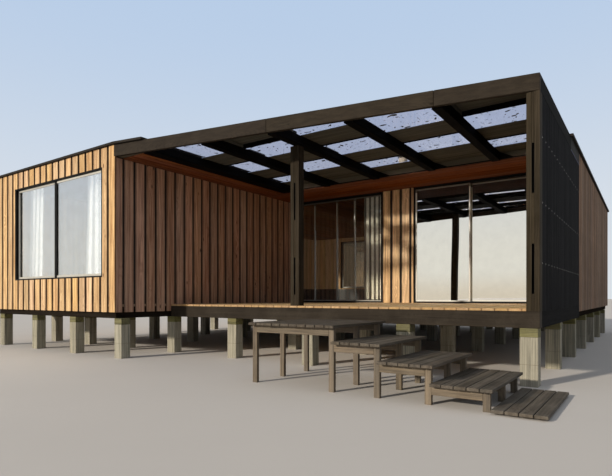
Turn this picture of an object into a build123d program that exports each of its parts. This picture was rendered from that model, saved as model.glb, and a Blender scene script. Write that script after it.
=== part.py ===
from build123d import *
import math
import os

# Beach house on piles: an L-shaped flat-roofed house round a covered deck.
# Millimetres. X runs to the right along the front, Y runs back from it, Z is up.
# The plan is drawn from the front left corner of the boarding, on the ground,
# and every piece is moved at the end so that the origin is the middle of the base.

# Plan
house_width = 11320
house_depth = 13215
left_width = 4600  # the room in front, from its left boards to its deck boards
deck_setback = 1255  # front room's face to the front edge of the deck
porch_depth = 4100  # front edge of the deck to the door wall's boards
side_overhang = 590  # roof over the deck from the front room's side
door_overhang = 1185  # roof over the deck from the door wall

# Levels above the ground
beam_bottom = 716
beam_height = 209
deck_board = 31
floor_thickness = 43
soffit_level = 3595
wall_top = 3820
trim_height = 42
fascia_bottom = 3610

# Walls, roof and boarding
board_room = 25  # left outside the wall frames for the boards
wall_thickness = 200
plinth_inset = 60
rim_width = 150
soffit_thickness = 18
trim_width = 70
trim_proud = 40

# Piles
pile_width = 210
pile_depth = 184
pile_cap_height = 110
pile_inset = 19
pile_front_inset = 87  # deck edge to the middle of the first row
pile_back_inset = 953  # rear boards to the middle of the last row
deck_pile_bays = 4
room_pile_bays = 3
pile_row_count = 7

# Posts and the deck's frame
post_width = 154
mid_post_width = 171
mid_post_depth = 145
mid_post_setback = 40
mid_post_shift = 63  # left of the second rafter's left face
post_slot_width = 30
post_slot_height = 610
post_slot_depth = 60
post_slot_levels = (1140, 2370)
joist_width = 48
joist_height = 145
joist_pitch = 590
bearer_width = 90
deck_board_pitch = 163
deck_board_gap = 5
deck_end_gap = 2  # boards to the door wall

# Canopy
fascia_thickness = 60
fascia_joints = (3010, 5475)  # from the fascia's left end, along X
fascia_joint_gap = 4
rafter_bottom = 3590
rafter_height = 150
rafter_width = 140
ledger_width = 245
first_rafter_offset = 1915  # front room's side to the first rafter's right face
last_rafter_inset = 1150  # house's right side to the last rafter's right face
rafter_count = 4
panel_thickness = 60
panel_gap = 3
first_row = 634
row_count = 5
last_row_gap = 221  # last row to the roof over the doors
last_glass_depth = 468
least_glass_depth = 300
least_panel_depth = 300  # less than this in front of a row, and the glass takes it
raised_thickness = 20  # the splayed panels lie flush with the fascia's top
bar_width = 30
bar_drop = 15
glass_thickness = 10

# Windows
window_width = 3300
window_height = 2006
window_sill = 1464
window_right_inset = 385  # window to the front room's right side
window_frame = 30
mullion_middle = 1600  # from the window's left
window_frame_depth = 120
window_recess = 12  # wall face to window frame
sash_width = 42
meeting_stile = 18
sash_depth = 46
sash_setbacks = (25, 5)  # left and right sash behind the frame's face
pane_thickness = 24
left_wall_window_y = 6400
rear_window_inset = 1500  # each end of the house to its rear window

# Doors
door_head = 3580
folding_inset = 90  # front room's side to the door
folding_width = 2509
folding_shares = (509, 674, 509, 749)  # of the clear width, leaf by leaf
folding_stile = 14
folding_rail = 24
sliding_inset = 850  # house's right side to the door
sliding_width = 2472
door_frame = 32
leaf_setback = 60  # door frame's face to the folding leaves
door_frame_depth = 170
door_frame_recess = 8
leaf_stile = 26
leaf_depth = 50
leaf_gap = 4
leaf_overlap = 60
leaf_clearance = 6
track_gap = 20
shoe_length = 80
shoe_width = 20
shoe_gap = 0.3
pull_height = 420
pull_width = 22
pull_stand = 14
pull_level = 1000  # above the leaf's foot

# Curtains
rail_size = 22
curtain_depth = 90
curtain_floor_gap = 30
curtain_wall_gap = 80
curtain_rail_gap = 0.3
curtain_side_gap = 10  # side wall to a curtain that hangs beside it
rail_overrun = 100  # window's left to its curtain rail's end
window_curtains = ((-65, 640), (2210, 785))  # start from the window's left, width
door_curtain_start = 1870
door_curtain_width = 520

# Flue
flue_inset = 3750  # house's right side to its middle
flue_setback = 405  # door wall to its middle
flue_radius = 100
flue_wall = 6
flue_height = 600
flue_collar_radius = 150
flue_collar_height = 70
cowl_radius = 135
cowl_gap = 55
cowl_thickness = 8
cowl_leg = 12

# Steps
step_overrun = 360  # past the house's right side
step_gap = 385  # deck edge to the treads
step_length = 1376
platform_depth = 490
tread_depth = 612
tread_going = 580
tread_thickness = 32
landing_depth = 1270
platform_top = 50
middle_treads = 3
step_bearer_width = 48
step_bearer_height = 95
step_leg = 70
step_leg_setback = 40
step_bearer_inset = 90
platform_bearer_inset = 10

# Worked out from the above
beam_top = beam_bottom + beam_height
deck_top = beam_top + deck_board
floor_top = beam_top + floor_thickness
porch_y = deck_setback + porch_depth
trim_top = wall_top + trim_height
frame_left = board_room
frame_right = house_width - board_room
frame_front = board_room
frame_back = house_depth - board_room
porch_frame_x = left_width - board_room
door_frame_y = porch_y + board_room
deck_end = door_frame_y - deck_end_gap
overhang_x = left_width + side_overhang
overhang_y = porch_y - door_overhang
row_pitch = (overhang_y - first_row - last_row_gap) / row_count
first_rafter_face = left_width + first_rafter_offset
rafter_run = house_width - last_rafter_inset - first_rafter_face
rafter_pitch = rafter_run / (rafter_count - 1)
mid_post_x = first_rafter_face + rafter_pitch - rafter_width - mid_post_shift
window_left = left_width - window_right_inset - window_width
folding_left = left_width + folding_inset
sliding_left = house_width - sliding_inset - sliding_width
flue_x = house_width - flue_inset
flue_y = porch_y + flue_setback
step_right = house_width + step_overrun
step_back = deck_setback - step_gap
step_front = step_back - step_length
screen_left = house_width - post_width
roof_bottom = soffit_level + soffit_thickness
fascia_top = wall_top
rafter_top = rafter_bottom + rafter_height
splay = deck_setback / (house_width - left_width)
fascia_plan_depth = fascia_thickness * math.hypot(1, splay)
centre_x = (step_right - trim_proud) / 2
centre_y = (step_front + house_depth + trim_proud) / 2


def block(x0, x1, y0, y1, z0, z1):
    """A box between two corners."""
    middle = Pos((x0 + x1) / 2, (y0 + y1) / 2, (z0 + z1) / 2)
    return middle * Box(x1 - x0, y1 - y0, z1 - z0)


def plate(points, z0, z1):
    """A flat plan outline raised from one level to another."""
    outline = Polyline(*points, close=True)
    return Pos(0, 0, z0) * extrude(make_face(outline), z1 - z0)


def ring(x0, x1, y0, y1, z0, z1, stiles, rail):
    """The members of an upright rectangular frame: two stiles, and two rails between them."""
    a, b = x0 + stiles[0], x1 - stiles[1]
    return [
        block(x0, a, y0, y1, z0, z1),
        block(b, x1, y0, y1, z0, z1),
        block(a, b, y0, y1, z0, z0 + rail),
        block(a, b, y0, y1, z1 - rail, z1),
    ]


def glazed(x0, x1, y0, z0, z1, stiles, rail, depth):
    """A glazed leaf or sash: the members of its frame, and its pane."""
    pane_y = y0 + (depth - pane_thickness) / 2
    pane = block(
        x0 + stiles[0], x1 - stiles[1], pane_y, pane_y + pane_thickness, z0 + rail, z1 - rail
    )
    return ring(x0, x1, y0, y0 + depth, z0, z1, stiles, rail), pane


def save(name, *pieces):
    """Moves the pieces to the house's origin and writes them as one node."""
    placed = [Pos(-centre_x, -centre_y, 0) * piece for piece in pieces]
    whole = placed[0] if len(placed) == 1 else Compound(children=placed)
    export_step(whole, f"parts/{name}.step")


def fascia_front(x):
    """The splayed fascia's front face at x."""
    return (x - left_width) * splay


def fascia_back(x):
    return fascia_front(x) + fascia_plan_depth


# Piles and what stands on them

def pile_places():
    """Middles of the piles: the deck's lines, then the front room's with one more row."""
    right = house_width - pile_inset - pile_width / 2
    left = pile_inset + plinth_inset + pile_width / 2
    first = deck_setback + pile_front_inset
    pitch = (house_depth - pile_back_inset - first) / (pile_row_count - 1)
    rows = [first + pitch * n for n in range(pile_row_count)]
    step = (right - left_width) / deck_pile_bays
    lines = [right - step * n for n in range(deck_pile_bays)]
    places = [(x, y) for x in lines for y in rows]
    step = (left_width - left) / room_pile_bays
    room_lines = [left + step * n for n in range(room_pile_bays + 1)]
    front_row = plinth_inset + pile_depth / 2
    return places + [(x, y) for x in room_lines for y in [front_row] + rows], lines, room_lines


def piles():
    places, _, _ = pile_places()
    joint = beam_bottom - pile_cap_height
    half_x, half_y = pile_width / 2, pile_depth / 2
    shafts = [block(x - half_x, x + half_x, y - half_y, y + half_y, 0, joint) for x, y in places]
    caps = [
        block(x - half_x, x + half_x, y - half_y, y + half_y, joint, beam_bottom) for x, y in places
    ]
    save("piles", *shafts)
    save("pile_caps", *caps)


def beams():
    """The dark beams round the deck, and the rim beams set back under the boards."""
    z0, z1 = beam_bottom, beam_top
    front = block(left_width, house_width, deck_setback, deck_setback + post_width, z0, z1)
    side = block(screen_left, house_width, deck_setback + post_width, door_frame_y, z0, z1)
    save("front_beam", front)
    save("side_beam", side)
    left, back = plinth_inset, house_depth - plinth_inset
    right = house_width - plinth_inset
    room_right = left_width - plinth_inset
    # The long rims run between the two end ones.
    y0, y1 = left + rim_width, back - rim_width
    rims = [
        block(left, room_right, left, y0, z0, z1),
        block(left, right, y1, back, z0, z1),
        block(left, left + rim_width, y0, y1, z0, z1),
        block(right - rim_width, right, door_frame_y, y1, z0, z1),
        block(room_right - rim_width, room_right, y0, y1, z0, z1),
    ]
    save("plinth_beams", *rims)


def floor_frame():
    """Bearers over the inner pile lines, and the joists under the deck boards."""
    _, lines, room_lines = pile_places()
    back = house_depth - plinth_inset - rim_width
    half = bearer_width / 2
    z0, z1 = beam_bottom, beam_top
    bearers = []
    for x in lines[1:]:
        front = deck_setback + post_width
        bearers.append(block(x - half, x + half, front, back, z0, z1 - joist_height))
        bearers.append(block(x - half, x + half, door_frame_y, back, z1 - joist_height, z1))
    for x in room_lines[1:-1]:
        bearers.append(block(x - half, x + half, plinth_inset + rim_width, back, z0, z1))
    save("floor_bearers", *bearers)
    joists = []
    y = deck_setback + post_width + joist_pitch / 2
    while y + joist_width < door_frame_y:
        joists.append(block(left_width, screen_left, y, y + joist_width, z1 - joist_height, z1))
        y += joist_pitch
    save("deck_joists", *joists)


def floors():
    left = block(frame_left, porch_frame_x, frame_front, frame_back, beam_top, floor_top)
    main = block(porch_frame_x, frame_right, door_frame_y, frame_back, beam_top, floor_top)
    save("floor_left", left)
    save("floor_main", main)
    boards = []
    x = left_width
    while x < screen_left:
        end = x + deck_board_pitch - deck_board_gap
        if end + deck_board_gap > screen_left:
            end = screen_left
        boards.append(block(x, end, deck_setback, deck_end, beam_top, deck_top))
        x += deck_board_pitch
    save("deck_boards", *boards)


# Walls

def window_sites():
    """Each window's place: a move that takes the front wall's window to its wall."""
    centre = window_left + window_width / 2
    front = Pos(0, frame_front, 0)
    side_y = left_wall_window_y + window_width / 2
    left = Pos(frame_left, side_y, 0) * Rot(0, 0, -90) * Pos(-centre, 0, 0)
    sites = [front, left]
    inset = rear_window_inset + window_width / 2
    for middle in (house_width - inset, inset):
        sites.append(Pos(middle, frame_back, 0) * Rot(0, 0, 180) * Pos(-centre, 0, 0))
    return sites


def window_cut():
    """A window's hole through a wall whose outer face is at y = 0."""
    right = window_left + window_width
    return block(window_left, right, -1, wall_thickness + 1, window_sill, window_sill + window_height)


def walls():
    sites = window_sites()
    t = wall_thickness
    z0, z1 = floor_top, wall_top
    front = block(frame_left, porch_frame_x, frame_front, frame_front + t, z0, z1)
    save("front_wall", front - sites[0] * window_cut())
    left = block(frame_left, frame_left + t, frame_front + t, frame_back - t, z0, z1)
    save("left_wall", left - sites[1] * window_cut())
    rear = block(frame_left, frame_right, frame_back - t, frame_back, z0, z1)
    for site in sites[2:]:
        rear -= site * window_cut()
    save("rear_wall", rear)
    save("right_wall", block(frame_right - t, frame_right, door_frame_y, frame_back - t, z0, z1))
    porch = block(porch_frame_x - t, porch_frame_x, frame_front + t, door_frame_y, z0, roof_bottom)
    save("porch_wall", porch)


def door_wall():
    """The wall behind the deck: posts of wall beside the doors and one head over them."""
    y0, y1 = door_frame_y, door_frame_y + wall_thickness
    edges = [
        (porch_frame_x - wall_thickness, folding_left),
        (folding_left + folding_width, sliding_left),
        (sliding_left + sliding_width, frame_right - wall_thickness),
    ]
    piers = [block(a, b, y0, y1, floor_top, door_head) for a, b in edges]
    save("door_wall_piers", *piers)
    head = block(edges[0][0], edges[-1][1], y0, y1, door_head, roof_bottom)
    save("door_head_beam", head)


def side_screen():
    """The dark wall along the deck's right side, under the canopy's side beam."""
    wall = block(
        screen_left, frame_right, deck_setback + post_width, door_frame_y, beam_top, soffit_level
    )
    save("side_screen", wall)


def posts():
    """Both posts, with two upright slots sunk in the front face of each."""
    right = block(
        screen_left, house_width, deck_setback, deck_setback + post_width, beam_top, fascia_bottom
    )
    x, y = mid_post_x, deck_setback + mid_post_setback
    middle = block(x, x + mid_post_width, y, y + mid_post_depth, deck_top, rafter_bottom)
    for level in post_slot_levels:
        for left, width, front in ((screen_left, post_width, deck_setback), (x, mid_post_width, y)):
            slot_left = left + (width - post_slot_width) / 2
            slot = block(
                slot_left, slot_left + post_slot_width, front - 1, front + post_slot_depth,
                level, level + post_slot_height,
            )
            right -= slot
            middle -= slot
    save("right_post", right)
    save("mid_post", middle)


# Roof

def roof():
    t = wall_thickness
    z0, z1 = roof_bottom, wall_top
    room = block(frame_left + t, porch_frame_x, frame_front + t, overhang_y, z0, z1)
    side = plate(
        [
            (porch_frame_x, fascia_back(porch_frame_x)),
            (overhang_x, fascia_back(overhang_x)),
            (overhang_x, overhang_y),
            (porch_frame_x, overhang_y),
        ],
        z0,
        z1,
    )
    save("roof_left", room, side)
    eaves = block(frame_left + t, house_width, overhang_y, door_frame_y, z0, z1)
    main = block(frame_left + t, frame_right - t, door_frame_y, frame_back - t, z0, z1)
    save("roof_main", eaves, main)
    soffit = plate(
        [
            (porch_frame_x, fascia_back(porch_frame_x)),
            (overhang_x, fascia_back(overhang_x)),
            (overhang_x, overhang_y),
            (house_width, overhang_y),
            (house_width, door_frame_y),
            (porch_frame_x, door_frame_y),
        ],
        soffit_level,
        roof_bottom,
    )
    save("soffit", soffit)


def trim_outline(inset):
    """The roof edge's plan outline, moved in by inset from its outer face."""
    out = trim_proud - inset
    inner = overhang_x + out
    return [
        (-out, -out),
        (left_width, -out),
        (inner, fascia_front(inner) - out),
        (inner, overhang_y - out),
        (house_width + out, overhang_y - out),
        (house_width + out, house_depth + out),
        (-out, house_depth + out),
    ]


def roof_trim():
    """The thin dark edge that stands round the whole flat roof."""
    outer = plate(trim_outline(0), wall_top, trim_top)
    inner = plate(trim_outline(trim_width), wall_top - 1, trim_top + 1)
    save("roof_trim", outer - inner)


def flue():
    """A round flue with a collar on the roof and a cowl on three legs."""
    z0 = wall_top
    z1 = z0 + flue_height
    tube = Cylinder(flue_radius, z1 - z0) - Cylinder(flue_radius - flue_wall, z1 - z0)
    body = Pos(flue_x, flue_y, (z0 + z1) / 2) * tube
    collar = Cone(flue_collar_radius, flue_radius + flue_wall, flue_collar_height)
    collar -= Cylinder(flue_radius, flue_collar_height)
    body += Pos(flue_x, flue_y, z0 + flue_collar_height / 2) * collar
    for turn in (0, 120, 240):
        leg = Pos(flue_radius - flue_wall / 2, 0, 0) * Box(flue_wall, cowl_leg, cowl_gap)
        body += Pos(flue_x, flue_y, z1 + cowl_gap / 2) * Rot(0, 0, turn) * leg
    cap = Cone(cowl_radius, flue_radius, 2 * cowl_thickness)
    body += Pos(flue_x, flue_y, z1 + cowl_gap + cowl_thickness) * cap
    save("flue", body)


# Canopy

def rafter_faces():
    """Left and right faces of the ledger, the rafters and the side beam."""
    faces = [(overhang_x, overhang_x + ledger_width)]
    for n in range(rafter_count):
        right = first_rafter_face + rafter_pitch * n
        faces.append((right - rafter_width, right))
    return faces + [(screen_left, house_width)]


def canopy_frame():
    start = porch_frame_x
    cuts = [start] + [left_width + joint for joint in fascia_joints] + [house_width]
    half = fascia_joint_gap / 2
    boards = []
    for n, (a, b) in enumerate(zip(cuts, cuts[1:])):
        a = a + half if n else a
        b = b - half if b < house_width else b
        points = [(a, fascia_front(a)), (b, fascia_front(b)), (b, fascia_back(b)), (a, fascia_back(a))]
        boards.append(plate(points, fascia_bottom, fascia_top))
    save("canopy_fascia", *boards)
    rafters = []
    for a, b in rafter_faces():
        top = fascia_top if b == house_width else rafter_top
        bottom = fascia_bottom if b == house_width else rafter_bottom
        points = [(a, fascia_back(a)), (b, fascia_back(b)), (b, overhang_y), (a, overhang_y)]
        rafters.append(plate(points, bottom, top))
    save("canopy_rafters", *rafters)


def canopy_rows(bay):
    """Front and back of each glass row in a bay: the bays take turns."""
    starts = [first_row + row_pitch * n for n in range(bay % 2, row_count, 2)]
    rows = [(y, y + row_pitch) for y in starts]
    if bay % 2 == 0:
        rows[-1] = (rows[-1][0], rows[-1][0] + last_glass_depth)
    return rows


def raised_panel(a, b, y1, clear_a, clear_b, z0):
    """A thin sheet flush with the fascia's top, and the two cheeks that carry it."""
    z1 = fascia_top - raised_thickness
    front = [(a, fascia_back(a)), (b, fascia_back(b))]
    sheet = plate(front + [(b, y1), (a, y1)], z1, fascia_top)
    cheeks = []
    for x0, x1 in ((a, clear_a), (clear_b, b)):
        if x1 > x0:
            near = [(x0, fascia_back(x0)), (x1, fascia_back(x1))]
            cheeks.append(plate(near + [(x1, y1), (x0, y1)], z0, z1))
    return [sheet] + cheeks


def canopy_infill():
    """Solid panels and glass in turn, so that the canopy reads as a draughtboard."""
    faces = rafter_faces()
    panels, panes, bars = [], [], []
    z0 = rafter_top
    z1 = z0 + panel_thickness
    for bay, (left, right) in enumerate(zip(faces, faces[1:])):
        side = bay == len(faces) - 2
        a = (left[0] + left[1]) / 2 + panel_gap / 2
        b = right[0] if side else (right[0] + right[1]) / 2 - panel_gap / 2
        clear_a, clear_b = left[1], right[0]
        reach = max(fascia_back(a), fascia_back(b))
        edge = None
        for y0, y1 in canopy_rows(bay):
            if y1 - reach < least_glass_depth:
                continue
            splayed = y0 - reach < least_panel_depth
            near = [(a, y0), (b, y0)]
            if splayed:
                near = [(a, fascia_back(a)), (b, fascia_back(b))]
            panes.append(plate(near + [(b, y1), (a, y1)], z0, z0 + glass_thickness))
            if not splayed:
                top = z0
                if edge is None:
                    top = fascia_top - raised_thickness
                    panels += raised_panel(a, b, y0, clear_a, clear_b, z0)
                else:
                    panels.append(block(a, b, edge, y0, z0, z1))
                bars.append(block(clear_a, clear_b, y0 - bar_width, y0, z0 - bar_drop, top))
            edge = y1
        if bay % 2:
            last = first_row + row_count * row_pitch
            panels.append(block(a, b, edge, last - panel_gap, z0, z1))
            edge = last
        panels.append(block(a, b, edge, overhang_y, z0, z1))
    save("canopy_panels", *panels)
    save("canopy_glass", *panes)
    save("glazing_bars", *bars)


# Windows and doors

def window_pieces():
    """A window's frame, two sashes and two panes, in a wall with its outer face at y = 0."""
    x0, x1 = window_left, window_left + window_width
    z0, z1 = window_sill, window_sill + window_height
    y0, y1 = window_recess, window_recess + window_frame_depth
    frame = ring(x0, x1, y0, y1, z0, z1, (window_frame, window_frame), window_frame)
    inner_x0, inner_x1 = x0 + window_frame, x1 - window_frame
    inner_z0, inner_z1 = z0 + window_frame, z1 - window_frame
    mullion_x0 = x0 + mullion_middle - window_frame / 2
    mullion_x1 = mullion_x0 + window_frame
    frame.append(block(mullion_x0, mullion_x1, y0, y1, inner_z0, inner_z1))
    sashes, panes = [], []
    places = [
        (inner_x0, mullion_x0, (sash_width, meeting_stile)),
        (mullion_x1, inner_x1, (meeting_stile, sash_width)),
    ]
    for (a, b, stiles), setback in zip(places, sash_setbacks):
        members, pane = glazed(
            a, b, y0 + setback, inner_z0, inner_z1, stiles, sash_width, sash_depth
        )
        sashes += members
        panes.append(pane)
    return frame, sashes, panes


def windows():
    frame, sashes, panes = window_pieces()
    sites = window_sites()
    save("window_frames", *[site * member for site in sites for member in frame])
    save("window_sashes", *[site * member for site in sites for member in sashes])
    save("window_glass", *[site * pane for site in sites for pane in panes])


def door_ring(x0, x1):
    y0 = door_frame_y + door_frame_recess
    stiles = (door_frame, door_frame)
    return ring(x0, x1, y0, y0 + door_frame_depth, floor_top, door_head, stiles, door_frame)


def folding_door():
    x0, x1 = folding_left, folding_left + folding_width
    save("folding_door_frame", *door_ring(x0, x1))
    clear = x1 - x0 - 2 * door_frame - (len(folding_shares) - 1) * leaf_gap
    frames, panes = [], []
    leaf_y = door_frame_y + door_frame_recess + leaf_setback
    a = x0 + door_frame
    for share in folding_shares:
        width = clear * share / sum(folding_shares)
        frame, pane = glazed(
            a, a + width, leaf_y, floor_top + door_frame, door_head - door_frame,
            (folding_stile, folding_stile), folding_rail, leaf_depth,
        )
        frames += frame
        panes.append(pane)
        a += width + leaf_gap
    save("folding_door_leaves", *frames)
    save("folding_door_glass", *panes)


def sliding_door():
    """The left leaf is fixed in the outer track; the right one slides behind it."""
    x0, x1 = sliding_left, sliding_left + sliding_width
    clear_x0, clear_x1 = x0 + door_frame, x1 - door_frame
    clear_z0, clear_z1 = floor_top + door_frame, door_head - door_frame
    save("sliding_door_frame", *door_ring(x0, x1))
    width = (clear_x1 - clear_x0 + leaf_overlap) / 2
    fixed_y = door_frame_y + door_frame_recess + track_gap
    stiles = (leaf_stile, leaf_stile)
    frame, pane = glazed(
        clear_x0, clear_x0 + width, fixed_y, clear_z0, clear_z1, stiles, leaf_stile, leaf_depth
    )
    save("fixed_leaf", *frame)
    save("fixed_leaf_glass", pane)
    moving_y = fixed_y + leaf_depth + track_gap
    moving_x0, moving_x1 = clear_x1 - width, clear_x1 - leaf_clearance
    foot = clear_z0 + leaf_clearance
    head = clear_z1 - leaf_clearance
    frame, pane = glazed(
        moving_x0, moving_x1, moving_y, foot, head, stiles, leaf_stile, leaf_depth
    )
    shoe_y = moving_y + (leaf_depth - shoe_width) / 2
    for x in (moving_x0 + leaf_stile, moving_x1 - leaf_stile - shoe_length):
        shoe = block(x, x + shoe_length, shoe_y, shoe_y + shoe_width, clear_z0 + shoe_gap, foot)
        frame.append(shoe)
    a, b = moving_x1 - (leaf_stile + pull_width) / 2, moving_x1 - (leaf_stile - pull_width) / 2
    low = foot + pull_level
    high = low + pull_height
    grip_back = moving_y - pull_stand
    frame.append(block(a, b, grip_back - pull_width / 2, grip_back, low, high))
    for z in (low, high - pull_width):
        frame.append(block(a, b, grip_back, moving_y, z, z + pull_width))
    save("moving_leaf", *frame)
    save("moving_leaf_glass", pane)


def curtains():
    """Plain solids of the drawn-back curtains, and the rails under the ceiling."""
    rail_z1 = roof_bottom
    rail_z0 = rail_z1 - rail_size
    top = rail_z0 - curtain_rail_gap
    foot = floor_top + curtain_floor_gap
    window_y = frame_front + wall_thickness + curtain_wall_gap
    door_y = door_frame_y + wall_thickness + curtain_wall_gap
    # A curtain stops beside the side wall where the window is near it.
    side = frame_left + wall_thickness + curtain_side_gap
    hung = []
    for start, width in window_curtains:
        x = max(window_left + start, side)
        hung.append(block(x, x + width, window_y, window_y + curtain_depth, foot, top))
    x = folding_left + door_curtain_start
    hung.append(block(x, x + door_curtain_width, door_y, door_y + curtain_depth, foot, top))
    save("curtains", *hung)
    # The window's rail stops at the side wall where the window is near it.
    window_rail_left = max(window_left - rail_overrun, frame_left + wall_thickness)
    window_rail = (window_rail_left, window_left + window_width, window_y)
    door_rail = (folding_left, folding_left + folding_width, door_y)
    rails = []
    for x0, x1, y in (window_rail, door_rail):
        back = y + (curtain_depth - rail_size) / 2
        rails.append(block(x0, x1, back, back + rail_size, rail_z0, rail_z1))
    save("curtain_rails", *rails)


# Steps

def steps():
    """A wide low flight along the front of the deck, down to a platform on the ground."""
    rise = (deck_top - platform_top) / (middle_treads + 2)
    left, under = step_right - platform_depth, platform_top - tread_thickness
    treads = [block(left, step_right, step_front, step_back, under, platform_top)]
    lines = (
        step_front + step_bearer_inset,
        (step_front + step_back - step_bearer_width) / 2,
        step_back - step_bearer_inset - step_bearer_width,
    )
    sills = (left + platform_bearer_inset, step_right - platform_bearer_inset)
    timbers = [block(*sills, y, y + step_bearer_width, 0, under) for y in lines]
    first_edge = left + (tread_depth - tread_going) / 2
    for n in range(middle_treads + 1):
        landing = n == middle_treads
        top = platform_top + rise * (n + 1)
        under = top - tread_thickness
        edge = first_edge - tread_going * n
        back = edge - (landing_depth if landing else tread_depth)
        treads.append(block(back, edge, step_front, step_back, under, top))
        # The bearer butts against its own leg and against the next tread's.
        leg_right = edge - step_leg_setback
        leg_left = leg_right - step_leg
        bearer_left = back + step_leg if landing else leg_right - tread_going
        for y in lines:
            y1 = y + step_bearer_width
            timbers.append(block(leg_left, leg_right, y, y1, 0, under))
            timbers.append(block(bearer_left, leg_left, y, y1, under - step_bearer_height, under))
            if landing:
                timbers.append(block(back, back + step_leg, y, y1, 0, under))
    save("step_treads", *treads)
    save("step_frames", *timbers)


def main():
    os.makedirs("parts", exist_ok=True)
    piles()
    beams()
    floor_frame()
    floors()
    walls()
    door_wall()
    side_screen()
    posts()
    roof()
    roof_trim()
    flue()
    canopy_frame()
    canopy_infill()
    windows()
    folding_door()
    sliding_door()
    curtains()
    steps()


main()
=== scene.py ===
import math
import random

import bpy
from mathutils import Matrix, Vector


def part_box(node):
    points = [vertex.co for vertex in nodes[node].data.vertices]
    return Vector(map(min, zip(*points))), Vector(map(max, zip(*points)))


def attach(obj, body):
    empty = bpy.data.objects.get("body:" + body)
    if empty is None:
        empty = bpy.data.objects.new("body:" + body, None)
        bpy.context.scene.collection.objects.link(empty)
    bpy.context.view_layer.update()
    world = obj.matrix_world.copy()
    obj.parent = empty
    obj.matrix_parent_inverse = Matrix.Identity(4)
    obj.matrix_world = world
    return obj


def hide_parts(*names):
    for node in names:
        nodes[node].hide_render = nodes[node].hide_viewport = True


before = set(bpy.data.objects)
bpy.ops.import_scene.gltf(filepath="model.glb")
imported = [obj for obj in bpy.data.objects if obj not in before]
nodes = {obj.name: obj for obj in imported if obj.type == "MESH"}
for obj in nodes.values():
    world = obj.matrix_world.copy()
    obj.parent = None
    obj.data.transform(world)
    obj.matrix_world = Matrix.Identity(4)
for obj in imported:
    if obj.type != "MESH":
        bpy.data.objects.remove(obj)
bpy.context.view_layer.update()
print("frame loaded:", len(nodes), "nodes")

# Faces of the boarding, read from the walls that stand one board behind it
boardDepth = 0.025
boardWidth = 0.191
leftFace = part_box("left_wall")[0].x - boardDepth
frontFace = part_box("front_wall")[0].y - boardDepth
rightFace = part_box("right_wall")[1].x + boardDepth
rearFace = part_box("rear_wall")[1].y + boardDepth
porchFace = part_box("porch_wall")[1].x + boardDepth
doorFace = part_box("door_wall_piers")[0].y - boardDepth
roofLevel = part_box("roof_main")[1].z
soffitLow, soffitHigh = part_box("soffit")
deckLow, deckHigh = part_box("deck_boards")


# Modelling helpers

def clearSelection():
    if bpy.context.mode != "OBJECT":
        bpy.ops.object.mode_set(mode="OBJECT")
    bpy.ops.object.select_all(action="DESELECT")


def pickOnly(piece):
    clearSelection()
    piece.select_set(True)
    bpy.context.view_layer.objects.active = piece


def nameActive(name):
    piece = bpy.context.active_object
    piece.name = piece.data.name = name
    return piece


def applyPlace(piece):
    pickOnly(piece)
    bpy.ops.object.transform_apply(location=True, rotation=True, scale=True)


def easeEdges(chamfer, clamp=False):
    # takes the edges off the active piece
    bpy.ops.object.mode_set(mode="EDIT")
    bpy.ops.mesh.select_all(action="SELECT")
    bpy.ops.mesh.bevel(offset=chamfer, segments=1, affect="EDGES", clamp_overlap=clamp)
    bpy.ops.object.mode_set(mode="OBJECT")


def addBar(name, low, high, chamfer=0.0):
    # a squared timber between two corners, its edges taken off
    clearSelection()
    bpy.ops.mesh.primitive_cube_add(size=1, location=[(a + b) / 2 for a, b in zip(low, high)])
    bar = nameActive(name)
    bar.scale = [b - a for a, b in zip(low, high)]
    applyPlace(bar)
    if chamfer:
        easeEdges(chamfer)
    return bar


def addDisc(name, middle, radius, depth, sides, axis, ease=0.0):
    # a screw head or band: a drum whose rims are eased
    clearSelection()
    turn = (0, math.pi / 2, 0) if axis == "X" else (0, 0, 0)
    bpy.ops.mesh.primitive_cylinder_add(
        vertices=sides, radius=radius, depth=depth, location=middle, rotation=turn
    )
    disc = nameActive(name)
    applyPlace(disc)
    if ease:
        easeEdges(ease, clamp=True)
    return disc


def copyOf(piece, shift):
    twin = piece.copy()
    twin.data = piece.data.copy()
    twin.data.transform(Matrix.Translation(shift))
    bpy.context.collection.objects.link(twin)
    return twin


def looseTimbers(mesh):
    # the vertices of each separate timber in a mesh
    links = [[] for _ in mesh.vertices]
    for edge in mesh.edges:
        a, b = edge.vertices
        links[a].append(b)
        links[b].append(a)
    seen = [False] * len(links)
    for start in range(len(links)):
        if seen[start]:
            continue
        seen[start], timber, ahead = True, [], [start]
        while ahead:
            spot = ahead.pop()
            timber.append(spot)
            for near in links[spot]:
                if not seen[near]:
                    seen[near] = True
                    ahead.append(near)
        yield timber


def extent(mesh, timber):
    # lowest and highest corner
    spots = [mesh.vertices[k].co for k in timber]
    return [Vector(edge(s[k] for s in spots) for k in range(3)) for edge in (min, max)]


def markGrain(piece, seed):
    # every timber gets a number of its own, and coordinates from its middle with its longest side last
    mesh, draw = piece.data, random.Random(seed)
    count = len(mesh.vertices)
    numbers, places = [0.0] * count, [0.0] * (3 * count)
    for timber in looseTimbers(mesh):
        low, high = extent(mesh, timber)
        order = sorted(range(3), key=lambda k: high[k] - low[k])
        number = draw.random()
        for k in timber:
            spot = mesh.vertices[k].co
            numbers[k] = number
            places[3 * k:3 * k + 3] = [spot[m] - (low[m] + high[m]) / 2 for m in order]
    mesh.attributes.new("boardSeed", "FLOAT", "POINT").data.foreach_set("value", numbers)
    mesh.attributes.new("grainPlace", "FLOAT_VECTOR", "POINT").data.foreach_set("vector", places)


def joinAs(name, pieces):
    clearSelection()
    for piece in pieces:
        piece.select_set(True)
    bpy.context.view_layer.objects.active = pieces[0]
    bpy.ops.object.join()
    return nameActive(name)


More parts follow.
